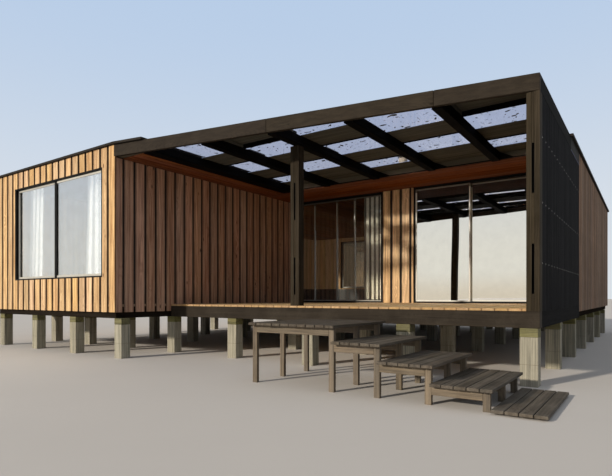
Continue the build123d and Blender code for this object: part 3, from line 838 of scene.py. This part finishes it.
# Pane rows under the canopy: the rear edges stand one row apart
rowEdges = sorted({round(high.y, 3) for _, high in paneBoxes})
rowPitch = min(b - a for a, b in zip(rowEdges, rowEdges[1:]) if b - a > 0.5)
glassLooks = {
    "windowGlass": {
        "tint": (0.96, 0.98, 1.0), "mirror": 0.56, "film": 0.03, "shade": (0.96, 0.97, 0.97),
        "wave": (0.9, 0.9, 0.5), "bump": 0.10, "rear": (0.36, 0.29, 0.19),
    },
    "foldingGlass": {
        "tint": (0.96, 0.97, 0.95), "mirror": 0.08, "film": 0.02, "shade": (0.66, 0.66, 0.64),
        "wave": (0.9, 0.9, 0.5), "bump": 0.08,
    },
    "slidingGlass": {
        "tint": (0.93, 0.915, 0.88), "mirror": 0.93, "film": 0.02, "shade": (0.72, 0.72, 0.70),
        "wave": (0.5, 0.5, 0.35), "bump": 1.0,
    },
    "roofGlass": {
        "tint": (0.69, 0.68, 0.78), "mirror": 0.0, "film": 0.0, "shade": (0.85, 0.87, 0.90), "ior": 1.12,
        "wave": (1.2, 1.2, 1.2), "bump": 0.0, "slits": (rowEdges[0], rowPitch, 0.22),
        "litter": ((3.4, 0.55, 0.052), (6.5, 0.62, 0.029), (13.0, 0.45, 0.011)),
    },
}
glass = {name: glassMaterial(name, look) for name, look in glassLooks.items()}

clothLooks = {
    "windowCloth": {
        "threads": 900.0, "paintedDaylight": 0.75, "dark": (0.86, 0.84, 0.78), "light": (0.95, 0.94, 0.90),
        "fold": (0.34, 0.34, 0.33),
    },
    "doorCloth": {
        "threads": 900.0, "paintedDaylight": 0.10, "dark": (0.50, 0.45, 0.36), "light": (0.62, 0.57, 0.46),
        "fold": (0.10, 0.09, 0.07),
    },
}
cloth = {name: clothMaterial(name, look) for name, look in clothLooks.items()}
roofFelt = feltMaterial("roofFelt", {
    "dark": (0.055, 0.055, 0.056), "light": (0.19, 0.185, 0.18), "dust": (0.24, 0.23, 0.20), "gloss": 0.04,
    "eaves": (0.105, 0.092, 0.068), "verge": (0.010, 0.009, 0.009), "rows": (0.14, 0.003),
    "ceiling": {
        "dark": (0.17, 0.075, 0.035), "light": (0.36, 0.19, 0.095), "knot": (0.09, 0.04, 0.02), "tone": 0.12,
    },
})
wallCore = wallMaterial("wallCore", {
    "dark": (0.006, 0.004, 0.003), "light": (0.018, 0.012, 0.009), "rows": (0.14, 0.003), "paintedDaylight": 0.034,
    "base": (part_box("window_frames")[0].z - 0.02, (0.032, 0.032, 0.031)),
    "lining": {
        "dark": (0.42, 0.25, 0.11), "light": (0.88, 0.60, 0.33), "knot": (0.18, 0.09, 0.04), "tone": 0.14,
    },
})
print("materials made:", len(bpy.data.materials))

# CAD nodes whose shape stays as it is
shell = [side + "_wall" for side in ("front", "left", "rear", "right", "porch")]
shell += ["door_wall_piers", "door_head_beam"]
finishes = {
    "floor_left": timber["floorBoards"], "floor_main": timber["floorBoards"],
    **dict.fromkeys(shell, wallCore), "roof_left": roofFelt, "roof_main": roofFelt,
    "canopy_glass": glass["roofGlass"], "window_glass": glass["windowGlass"],
    "folding_door_glass": glass["foldingGlass"], "fixed_leaf_glass": glass["slidingGlass"],
    "moving_leaf_glass": glass["slidingGlass"], "curtain_rails": metal["railLacquer"],
    "flue": metal["flueEnamel"],
}
for name, material in finishes.items():
    data = nodes[name].data
    data.materials.clear()
    data.materials.append(material)
print("CAD nodes finished:", len(finishes))

# CAD nodes whose timbers and bars get eased edges: material, slot, chamfer and names
dressed = [
    (timber["pileTimber"], "pile_wood", 0.004, "piles"),
    (timber["pileCapTimber"], "pile_cap_wood", 0.004, "pile_caps"),
    (timber["darkTimber"], "dark_timber", 0.004, "front_beam", "canopy_fascia"),
    (timber["plinthTimber"], "dark_timber", 0.004, "plinth_beams"),
    (timber["blackTimber"], "black_timber", 0.004, "side_beam"),
    (timber["blackTimber"], "black_timber", 0.003, "side_screen"),
    (timber["frameTimber"], "frame_wood", 0.003, "floor_bearers", "deck_joists", "step_frames"),
    (timber["deckBoards"], "deck_wood", 0.003, "deck_boards"),
    (timber["rafterTimber"], "rafter_timber", 0.004, "canopy_rafters"),
    (timber["rafterTimber"], "rafter_timber", 0.002, "glazing_bars"),
    (timber["canopyBoard"], "canopy_board", 0.002, "canopy_panels"),
    (metal["roofEdge"], "roof_edge", 0.003, "roof_trim"),
    (metal["darkFrame"], "dark_frame", 0.0015, "window_frames", "folding_door_frame", "sliding_door_frame"),
    (metal["sashFrame"], "pale_frame", 0.0015, "window_sashes"),
    (metal["foldingFrame"], "pale_frame", 0.0015, "folding_door_leaves"),
    (metal["paleFrame"], "pale_frame", 0.0015, "fixed_leaf", "moving_leaf"),
]
for material, slot, chamfer, *names in dressed:
    for name in names:
        dressNode(name, material, slot, chamfer, "terrace_door" if name == "moving_leaf" else "house")
print("CAD nodes dressed in", len(dressed), "ways")


# Posts, each laminated from three staves, with the slots sunk in the middle one
posts = {
    "stave": 0.0035, "chamfer": 0.0025, "slot": 0.030, "tall": 0.610, "depth": 0.060,
    "levels": (1.140, 2.370), "lining": 0.002, "liningChamfer": 0.0005, "liningSet": 0.001,
}


def postFaces(name):
    # a post's corners and both sides of its slots
    low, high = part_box(name)
    middle = (low.x + high.x) / 2
    return low, high, middle - posts["slot"] / 2, middle + posts["slot"] / 2


def makePost(name, seed):
    low, high, a, b = postFaces(name)
    slotFloor, foot = low.y + posts["depth"], low.z
    corners = [
        (low, (a, high.y, high.z)), ((b, low.y, low.z), high), ((a, slotFloor, low.z), (b, high.y, high.z)),
    ]
    for top in (*posts["levels"], high.z):
        corners.append(((a, low.y + posts["stave"], foot), (b, slotFloor, top)))
        foot = top + posts["tall"]
    staves = [addBar(name, *pair, posts["chamfer"]) for pair in corners]
    assemble("dressed_" + name, staves, timber["postTimber"], "dark_timber", seed, stands=(name,))


makePost("right_post", 101)
makePost("mid_post", 102)
print("posts made")


# Upright boards with dark gaps, laid from the end nearest the deck
cladding = {
    "pitch": 0.238, "chamfer": 0.003, "foot": 0.825, "top": roofLevel - 0.002, "unevenness": 0.0015,
    "first": 0.13, "narrowest": 0.03, "overDeck": 0.006, "besideFold": 0.039, "gap": 0.002,
}

# The four windows: wall, axis along it, its boards' face, and where the window starts; depths count from
# the boards' face, and the black bar between the sashes, painted shade, from the left as seen outside
windowLow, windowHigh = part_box("window_frames")
windowSize = {
    "width": 3.300, "sill": windowLow.z, "head": windowHigh.z, "lining": 0.026, "jamb": 0.042,
    "depths": (0.004, 0.036), "stileShade": (1.606, 1.672), "stileShadeDepths": (0.032, 0.048), "chamfer": 0.0015,
    "fromPorch": 0.385, "fromFront": 6.4, "fromSides": 1.5,
}
frontWindow = porchFace - windowSize["fromPorch"] - windowSize["width"]
windows = [
    ("front", "X", frontFace, frontWindow),
    ("left", "Y", leftFace, frontFace + windowSize["fromFront"]),
    ("rear", "X", rearFace, leftFace + windowSize["fromSides"]),
    ("rear", "X", rearFace, rightFace - windowSize["fromSides"] - windowSize["width"]),
]


def inWall(axis, along, outward, level):
    # a point from its places along and across a wall
    return (along, outward, level) if axis == "X" else (outward, along, level)


def claddingRun(
    name, axis, face, side, begin, end, first=boardWidth, foot=cladding["foot"], top=cladding["top"],
):
    # one board, copied along the wall, each copy set back a little and sawn where a window is
    draw, reach = random.Random(name), 2 * boardDepth
    back, front = sorted((face, face - side * boardDepth))
    holes = [start for wall, _, _, start in windows if "cladding_" + wall == name]

    def newBoard(a, b):
        return addBar(name, inWall(axis, a, back, foot), inWall(axis, b, front, top), cladding["chamfer"])

    pattern = newBoard(0, boardWidth)
    towards = 1 if end > begin else -1
    boards, run = [], begin
    while (end - run) * towards > cladding["narrowest"]:
        wide = min(first, abs(end - run))
        a, b = sorted((run, run + towards * wide))
        board = newBoard(a, b) if wide < boardWidth else copyOf(pattern, inWall(axis, a, 0, 0))
        for start in holes:
            stop = start + windowSize["width"]
            if b > start and a < stop:
                low = inWall(axis, start, face - reach, windowSize["sill"])
                cutAway(board, addBar("cutter", low, inWall(axis, stop, face + reach, windowSize["head"])))
        setBack = -side * draw.uniform(0.0, cladding["unevenness"])
        board.data.transform(Matrix.Translation(inWall(axis, 0, setBack, 0)))
        boards.append(board)
        run += towards * (cladding["pitch"] - boardWidth + wide)
        first = boardWidth
    bpy.data.objects.remove(pattern)
    return boards


folding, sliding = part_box("folding_door_frame"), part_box("sliding_door_frame")
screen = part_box("side_screen")
gap, first = cladding["gap"], cladding["first"]
underSoffit = soffitLow.z - gap
leftEnd, rearEnd = frontFace + boardDepth, rearFace - boardDepth
# the porch wall and the rear and right walls take the boards darkened as painted shade
wallRuns = {
    "front": ("sunnyBoards", "X", frontFace, -1, porchFace, leftFace),
    "left": ("sunnyBoards", "Y", leftFace, -1, leftEnd, rearEnd, first),
    "rear": ("weatheredBoards", "X", rearFace, 1, leftFace, rightFace),
    "right": ("weatheredBoards", "Y", rightFace, 1, doorFace + gap, rearEnd),
    "porch": ("porchBoards", "Y", porchFace, 1, leftEnd, doorFace, first, cladding["foot"], underSoffit),
}
for number, (wall, (look, *run)) in enumerate(wallRuns.items()):
    name = "cladding_" + wall
    assemble(name, claddingRun(name, *run), timber[look], "cladding", 11 + number)
piers = [
    joinAs("pier", claddingRun(
        "pier", "X", doorFace, -1, begin, end, foot=deckHigh.z + cladding["overDeck"], top=underSoffit,
    ))
    for begin, end in (
        (porchFace + gap, folding[0].x), (folding[1].x + cladding["besideFold"], sliding[0].x),
        (sliding[1].x, screen[0].x),
    )
]
assemble("cladding_doors", piers, timber["sunnyBoards"], "cladding", 16)
print("cladding laid on", len(wallRuns), "walls and", len(piers), "piers")


# Thin dark linings round the window holes, closing the ends of the cut boards, their black partly painted
# shade of the reveals; and a black bar between the sashes, painted shade of the meeting stile's side
def windowLining(axis, face, start):
    thick, jamb, sill, head = (windowSize[key] for key in ("lining", "jamb", "sill", "head"))
    a, b = start, start + windowSize["width"]
    inward = 1 if face in (frontFace, leftFace) else -1
    left, right = windowSize["stileShade"]
    stileShade = (a + left, a + right) if face == frontFace else (b - right, b - left)
    around, between = (
        sorted(face + inward * depth for depth in windowSize[key]) for key in ("depths", "stileShadeDepths")
    )
    strips = []
    for low, high, (near, far) in (
        ((a, sill), (a + jamb, head), around), ((b - jamb, sill), (b, head), around),
        ((a + jamb, sill), (b - jamb, sill + thick), around),
        ((a + jamb, head - thick), (b - jamb, head), around),
        ((stileShade[0], sill + thick), (stileShade[1], head - thick), between),
    ):
        corners = inWall(axis, low[0], near, low[1]), inWall(axis, high[0], far, high[1])
        strips.append(addBar("lining", *corners, windowSize["chamfer"]))
    return strips


linings = [strip for _, *place in windows for strip in windowLining(*place)]
assemble("window_linings", linings, metal["darkFrame"], "dark_frame")

# Dark trims over the doors, under the soffit
trimLook = {"top": soffitLow.z - 0.001, "back": doorFace + boardDepth, "chamfer": 0.002}
trims = [
    addBar(
        "trim", (low.x, doorFace, high.z), (high.x, trimLook["back"], trimLook["top"]), trimLook["chamfer"]
    )
    for low, high in (folding, sliding)
]
assemble("door_head_trims", trims, metal["darkFrame"], "dark_frame")


# The dark screen's battens and the screws that hold them
battens = {
    "pitch": 0.080, "width": 0.054, "chamfer": 0.0025, "gap": 0.001, "fromPost": 0.004,
    "screwRows": (1.52, 2.27, 3.08), "screwEvery": 3, "screwRadius": 0.0095, "screwDepth": 0.0026,
    "screwEase": 0.0008, "screwSet": 0.0014,
}


def makeBattens():
    draw, gap = random.Random(31), battens["gap"]
    begin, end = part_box("right_post")[1].y + battens["fromPost"], doorFace - gap
    foot, top = screen[0].z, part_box("canopy_fascia")[0].z - gap
    width, pitch, low = battens["width"], battens["pitch"], battens["screwRows"][0]
    corners = (rightFace - boardDepth, begin, foot), (rightFace - gap, begin + width, top)
    rows = [addBar("batten", *corners, battens["chamfer"])]
    while begin + len(rows) * pitch + width < end:
        rows.append(copyOf(rows[0], (-draw.uniform(0, 0.001), len(rows) * pitch, 0)))
    screwed = range(0, len(rows), battens["screwEvery"])
    assemble("screen_battens", rows, timber["blackBattens"], "black_timber", 32)
    head = addDisc(
        "screw", (rightFace - battens["screwSet"], begin + width / 2, low), battens["screwRadius"],
        battens["screwDepth"], 10, "X", battens["screwEase"],
    )
    heads = [copyOf(head, (0, n * pitch, level - low)) for level in battens["screwRows"] for n in screwed]
    bpy.data.objects.remove(head)
    assemble("screen_screws", heads, metal["screwSteel"], "rail_metal")


makeBattens()
print("screen battens placed")


# Soffit boards: across over the doors, along beside the front room
soffitLook = {"across": 4, "along": 4, "joint": 0.012, "chamfer": 0.003, "front": 0.12, "meeting": 0.002}


def makeSoffit():
    # the roof over the doors starts at the rafters' back end
    canopyLow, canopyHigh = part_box("canopy_rafters")
    eaves, left, half = canopyHigh.y, soffitLow.x, soffitLook["joint"] / 2
    deep = (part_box("door_wall_piers")[0].y - eaves) / soffitLook["across"]
    wide = (canopyLow.x - left) / soffitLook["along"]
    rows = [
        (left, eaves + n * deep + half, soffitHigh.x, eaves + n * deep + deep - half)
        for n in range(soffitLook["across"])
    ]
    rows += [
        (left + n * wide + half, soffitLow.y + soffitLook["front"], left + n * wide + wide - half,
         eaves - soffitLook["meeting"])
        for n in range(soffitLook["along"])
    ]
    boards = [
        addBar("board", (a, b, soffitLow.z), (c, d, soffitHigh.z), soffitLook["chamfer"])
        for a, b, c, d in rows
    ]
    assemble("soffit_boards", boards, timber["soffitBoards"], "soffit_wood", 41, stands=("soffit",))


makeSoffit()
print("soffit boards placed")


# Step boards over the CAD treads
stepLook = {"board": 0.118, "joint": 0.008, "chamfer": 0.004, "unevenness": 0.010, "thick": 0.032}


def makeSteps():
    draw, joint, thick = random.Random(51), stepLook["joint"], stepLook["thick"]
    corners = [vertex.co for vertex in nodes["step_treads"].data.vertices]
    levels = sorted({round(spot.z, 4) for spot in corners})
    boards = []
    for top in (z for z in levels if any(abs(z - thick - other) < 0.002 for other in levels)):
        spots = [spot for spot in corners if abs(spot.z - top) < 0.001]
        left, right = min(p.x for p in spots), max(p.x for p in spots)
        front, back = min(p.y for p in spots), max(p.y for p in spots)
        count = round((right - left) / (stepLook["board"] + joint))
        pitch = (right - left + joint) / count
        for n in range(count):
            x = left + n * pitch
            near, far = (draw.uniform(0, stepLook["unevenness"]) for _ in range(2))
            low, high = (x, front + near, top - thick), (x + pitch - joint, back - far, top)
            boards.append(addBar("board", low, high, stepLook["chamfer"]))
    assemble("step_boards", boards, timber["stepBoards"], "step_wood", 52, stands=("step_treads",))


makeSteps()
print("step boards placed")


# Curtains, pleated from a wider cloth and hung just under their rails: where each starts and how wide
# it is at its head and at its foot
curtainLow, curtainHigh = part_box("curtains")
curtainHang = {
    "head": curtainHigh.z - 0.001, "foot": curtainLow.z + 0.044, "thickness": 0.0012, "across": 150,
    "down": 24, "behind": 0.045, "deepest": 0.040, "second": 0.14, "lean": 0.12,
}
curtains = [
    {
        "name": "curtain_window_left", "look": "windowCloth", "cloth": 0.72, "pleats": 3, "from": frontWindow,
        "middle": curtainLow.y + curtainHang["behind"], "head": (0.050, 0.523), "foot": (-0.064, 0.560),
    },
    {
        "name": "curtain_window_right", "look": "windowCloth", "cloth": 0.92, "pleats": 4,
        "from": frontWindow, "middle": curtainLow.y + curtainHang["behind"], "head": (2.295, 0.698),
        "foot": (2.212, 0.780),
    },
    {
        "name": "curtain_door", "look": "doorCloth", "cloth": 0.80, "pleats": 4, "from": folding[0].x,
        "middle": curtainHigh.y - curtainHang["behind"], "head": (1.872, 0.516), "foot": (1.872, 0.516),
    },
]


def pleatPoint(item, depth, u, v, phases):
    # u runs along the cloth from 0 to 1, v from the foot to the head
    start, width = (a + (b - a) * v for a, b in zip(item["foot"], item["head"]))
    turn = 2 * math.pi * item["pleats"] * u + phases[0] * (1 - v) * math.sin(2 * math.pi * u + phases[1])
    y = depth * (math.sin(turn) + curtainHang["second"] * math.sin(2.3 * turn + phases[2]))
    return start + width * u - curtainHang["lean"] * width / item["pleats"] * math.sin(2 * turn), y


def pleatDepth(item, v, phases):
    # the pleats are as deep as the spare cloth makes them
    shallow, deep, steps = 0.002, curtainHang["deepest"], 240
    for _ in range(14):
        depth = (shallow + deep) / 2
        spots = [pleatPoint(item, depth, n / steps, v, phases) for n in range(steps + 1)]
        if sum(math.dist(a, b) for a, b in zip(spots, spots[1:])) < item["cloth"]:
            shallow = depth
        else:
            deep = depth
    return depth


def makeCurtain(item, seed):
    draw, rows = random.Random(seed), 8
    phases = (draw.uniform(0.7, 1.1), draw.uniform(0, 6), draw.uniform(0, 6))
    tall = curtainHang["head"] - curtainHang["foot"]
    depths = [pleatDepth(item, n / rows, phases) for n in range(rows + 1)]
    clearSelection()
    across, down = curtainHang["across"], curtainHang["down"]
    bpy.ops.mesh.primitive_grid_add(x_subdivisions=across, y_subdivisions=down, size=1)
    sheet = nameActive(item["name"])
    flat = sheet.data.uv_layers.new(name="cloth")
    for loop in sheet.data.loops:
        spot = sheet.data.vertices[loop.vertex_index].co
        flat.data[loop.index].uv = ((spot.x + 0.5) * item["cloth"], (spot.y + 0.5) * tall)
    folds = []
    for vertex in sheet.data.vertices:
        u, v = vertex.co.x + 0.5, min(max(vertex.co.y + 0.5, 0.0), 1.0)
        row = min(int(v * rows), rows - 1)
        depth = depths[row] + (depths[row + 1] - depths[row]) * (v * rows - row)
        x, y = pleatPoint(item, depth, u, v, phases)
        vertex.co = (item["from"] + x, item["middle"] + y, curtainHang["foot"] + v * tall)
        # how deep each point lies in a pleat's hollow, which the cloth's painted shade reads
        folds.append(-y / depth)
    sheet.data.attributes.new("pleat", "FLOAT", "POINT").data.foreach_set("value", folds)
    wall = sheet.modifiers.new("thickness", "SOLIDIFY")
    wall.thickness, wall.offset = curtainHang["thickness"], 0
    pickOnly(sheet)
    bpy.ops.object.modifier_apply(modifier=wall.name)
    bpy.ops.object.shade_smooth_by_angle(angle=math.radians(50))
    seat(sheet, cloth[item["look"]], "curtain_cloth", stands=("curtains",))
    print(item["name"], "pleats", round(2000 * min(depths)), "to", round(2000 * max(depths)), "mm deep")


for number, item in enumerate(curtains):
    makeCurtain(item, 61 + number)


# Felt laps across the roofs and bands round the flue
roofLook = {
    "sheet": 1.0, "lap": 0.10, "thickness": 0.004, "unevenness": 0.004, "chamfer": 0.001, "inset": 0.036,
    "besidePorch": 0.03, "meeting": 1.16, "shortest": 0.05,
}
flueLook = {
    "levels": (0.14, 0.34, 0.54), "radius": 0.1045, "hole": 0.1001, "tall": 0.022, "ease": 0.002,
    "holeMiddle": 0.3, "holeTall": 1.2,
}


def makeFelt():
    draw, sheets = random.Random(71), []
    inset, thick, meeting = roofLook["inset"], roofLook["thickness"], doorFace - roofLook["meeting"]
    for low, high, y, end in (
        (leftFace + inset, porchFace - roofLook["besidePorch"], frontFace + inset, meeting),
        (leftFace + inset, rightFace - inset, meeting, rearFace - inset),
    ):
        last = end - roofLook["shortest"]
        while y < last:
            far, level = min(y + roofLook["sheet"], end), roofLevel + thick
            sheets.append(addBar("felt", (low, y, roofLevel), (high, far, level), roofLook["chamfer"]))
            if far < last:
                edge = far + draw.uniform(-roofLook["unevenness"], roofLook["unevenness"])
                corners = (low, far - roofLook["lap"], level), (high, edge, roofLevel + 2 * thick)
                sheets.append(addBar("felt", *corners, roofLook["chamfer"]))
            y = far
    assemble("roof_felt_sheets", sheets, roofFelt, "roof_felt")


def makeFlueBands():
    low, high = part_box("flue")
    x, y = (low.x + high.x) / 2, (low.y + high.y) / 2
    size = flueLook["radius"], flueLook["tall"], 48, "Z", flueLook["ease"]
    bands = [addDisc("band", (x, y, low.z + level), *size) for level in flueLook["levels"]]
    middle = (x, y, low.z + flueLook["holeMiddle"])
    cutter = addDisc("cutter", middle, flueLook["hole"], flueLook["holeTall"], 96, "Z")
    bands = joinAs("flue_bands", bands)
    cutAway(bands, cutter)
    seat(bands, metal["flueEnamel"], "flue_metal")


makeFelt()
makeFlueBands()
print("roof felt and flue bands placed")


# Black liners in the slots of both posts: painted shade in these recesses
def makeSlotShades():
    strips, wall = [], posts["lining"]
    for post in ("right_post", "mid_post"):
        low, _, a, b = postFaces(post)
        front, back = low.y + posts["liningSet"], low.y + posts["depth"] - wall
        for level in posts["levels"]:
            top = level + posts["tall"]
            for corners in (
                ((a, front, level), (a + wall, back, top)),
                ((b - wall, front, level), (b, back, top)),
                ((a, back, level), (b, back + wall, top)),
                ((a + wall, front, level), (b - wall, back, level + wall)),
                ((a + wall, front, top - wall), (b - wall, back, top)),
            ):
                strips.append(addBar("slot", *corners, posts["liningChamfer"]))
    assemble("post_slot_shades", strips, metal["darkFrame"], "dark_frame")


makeSlotShades()


# Deck screws, two to a board over each joist
deckScrews = {
    "radius": 0.0042, "rise": 0.0012, "inset": 0.032, "sunk": 0.0004, "ease": 0.0004, "frontRow": 0.075,
}


def makeDeckScrews():
    edges = sorted({round(vertex.co.y, 4) for vertex in nodes["deck_joists"].data.vertices})
    joists = [(a + b) / 2 for a, b in zip(edges[::2], edges[1::2])]
    joists.append(deckLow.y + deckScrews["frontRow"])
    inset, rise, pitch = deckScrews["inset"], deckScrews["rise"], deckRows["pitch"]
    place = (deckLow.x + inset, joists[0], deckHigh.z + rise / 2 - deckScrews["sunk"])
    head = addDisc("screw", place, deckScrews["radius"], rise, 8, "Z", deckScrews["ease"])
    count = int((deckHigh.x - deckLow.x) / pitch)
    heads = [
        copyOf(head, (n * pitch + side, y - joists[0], 0))
        for y in joists for n in range(count) for side in (0, deckRows["width"] - 2 * inset)
    ]
    bpy.data.objects.remove(head)
    assemble("deck_screws", heads, metal["screwSteel"], "rail_metal")


makeDeckScrews()
print("deck screws placed")


# Dark joints where two canopy panels meet, drawn wider as painted shade of the gap; a black line over the
# soffit's front edge, painted shadow;
# rings where each pile is scarfed; and a dark plate at the rear end of each rafter, painted shadow of the
# rafter
joints = {
    "panel": 0.014, "panelInset": 0.072, "panelDepth": 0.003, "pile": 0.0035, "level": 0.268, "proud": 0.0008,
    "soffit": 0.022, "soffitDepths": (0.0005, 0.003), "chamfer": 0.0003, "soffitChamfer": 0.0005,
}
rafterShadow = {"wide": 0.28, "tall": 0.125, "thick": 0.010, "gap": 0.004, "tip": 0.012, "ease": 0.001}


def makeRafterShadow(x, eaves, level):
    # a plate whose upper outer corner is drawn back to the rafter: painted shadow
    high = (x + rafterShadow["wide"], eaves - rafterShadow["gap"], level + rafterShadow["tall"])
    plate, close = addBar("rafterShadow", (x, eaves - rafterShadow["thick"], level), high), 0.01
    corner = {v.index for v in plate.data.vertices if v.co.x > x + close and v.co.z > level + close}
    moveSome(plate, corner, (rafterShadow["tip"] - rafterShadow["wide"], 0, 0))
    easeEdges(rafterShadow["ease"])
    return plate


def makeJoints():
    boxes, proud, level = solidBoxes("canopy_panels"), joints["proud"], soffitHigh.z
    half, inset, seam, close = joints["panel"] / 2, joints["panelInset"], 0.008, 0.001
    corners = [
        ((low.x + inset, (other.y + high.y) / 2 - half, low.z - proud),
         (high.x - inset, (other.y + high.y) / 2 + half, low.z + joints["panelDepth"]), joints["chamfer"])
        for low, high in boxes for other, _ in boxes
        if 0 <= other.y - high.y < seam and abs(other.x - low.x) < close and abs(other.z - low.z) < close
    ]
    rafters = solidBoxes("canopy_rafters")
    eaves = max(high.y for _, high in rafters)
    near, far = joints["soffitDepths"]
    line = (rafters[0][1].x, eaves - far, level), (screen[0].x, eaves - near, level + joints["soffit"])
    strips = [addBar("joint", *facts) for facts in (*corners, (*line, joints["soffitChamfer"]))]
    last = screen[1].x - rafterShadow["wide"]
    strips += [makeRafterShadow(high.x, eaves, level) for _, high in rafters if high.x < last]
    assemble("panel_joints_and_shades", strips, timber["rafterTimber"], "rafter_timber", 82)
    foot, top = joints["level"], joints["level"] + joints["pile"]
    corners = [
        ((low.x - proud, low.y - proud, foot), (high.x + proud, high.y + proud, top))
        for low, high in solidBoxes("piles")
    ]
    scarfs = [addBar("scarf", *pair, joints["chamfer"]) for pair in corners]
    assemble("pile_scarfs", scarfs, timber["frameTimber"], "frame_wood", 81)


makeJoints()
print("joints placed")


# Floor, camera and light
studio = {
    "floor": (0.66, 0.62, 0.58), "floorSize": 600.0, "skyLow": (0.72, 0.76, 0.80),
    "skyHigh": (0.48, 0.61, 0.80), "mirrorHorizon": (0.74, 0.67, 0.55), "mirrorLow": (0.82, 0.81, 0.74),
    "mirrorHigh": (0.66, 0.71, 0.76), "fill": (0.80, 0.86, 0.95), "fillStrength": 0.42, "sun": 3.3,
    "sunColour": (1.0, 0.91, 0.77), "sunTurn": -20.0, "sunHeight": 19.0, "sunSoftness": 3.0,
}
clearSelection()
bpy.ops.mesh.primitive_plane_add(size=studio["floorSize"])
floor = nameActive("studio_floor")
floorPaint, tree, shader, place = startMaterial("floorPaint")
pale, deep = ([c * share for c in studio["floor"]] for share in (1.03, 0.97))
connect(shader, Roughness=0.9, Base_Color=blend(noise(place, 0.8, 4.0), deep, pale))
floor.data.materials.append(floorPaint)

world = bpy.context.scene.world or bpy.data.worlds.new("studio")
bpy.context.scene.world = world
world.use_nodes = True
tree = world.node_tree
paths = addNode(tree, "LightPath").outputs
seen = sums("MAXIMUM", paths["Is Glossy Ray"], paths["Is Transmission Ray"])
seen = sums("MAXIMUM", paths["Is Camera Ray"], seen)
rise = xyz(addNode(tree, "TexCoord").outputs["Generated"])[2]
sky = blend(spread(rise, 0.0, 0.55), studio["skyLow"], studio["skyHigh"])
mirrored = blend(spread(rise, 0.0, 0.06), studio["mirrorHorizon"], studio["mirrorLow"])
mirrored = blend(spread(rise, 0.06, 0.28), mirrored, studio["mirrorHigh"])
sky = blend(onlyMirrored(tree), sky, mirrored)
connect(
    tree.nodes["Background"], Color=blend(seen, studio["fill"], sky),
    Strength=mixIn(seen, 1.0 - studio["fillStrength"], studio["fillStrength"]),
)

clearSelection()
bpy.ops.object.light_add(type="SUN", location=(-20, -40, 20))
sun = bpy.context.active_object
sun.name = "key_light"
sun.data.energy, sun.data.color = studio["sun"], studio["sunColour"]
sun.data.angle = math.radians(studio["sunSoftness"])
sun.rotation_euler = (math.radians(90 - studio["sunHeight"]), 0, math.radians(studio["sunTurn"]))

cameraLook = {
    "place": (6.580, -11.6205, 1.100), "turn": 34.85, "pixels": 492.2, "frame": 612.0, "horizonDrop": 59.0,
}
clearSelection()
bpy.ops.object.camera_add(
    location=cameraLook["place"], rotation=(math.radians(90), 0, math.radians(cameraLook["turn"]))
)
camera = bpy.context.active_object
camera.data.sensor_width = 36.0
camera.data.lens = camera.data.sensor_width * cameraLook["pixels"] / cameraLook["frame"]
camera.data.shift_y = cameraLook["horizonDrop"] / cameraLook["frame"]
camera.data.clip_end = 1000.0
bpy.context.scene.camera = camera
bpy.context.scene.view_settings.view_transform = "Standard"
print("studio ready")
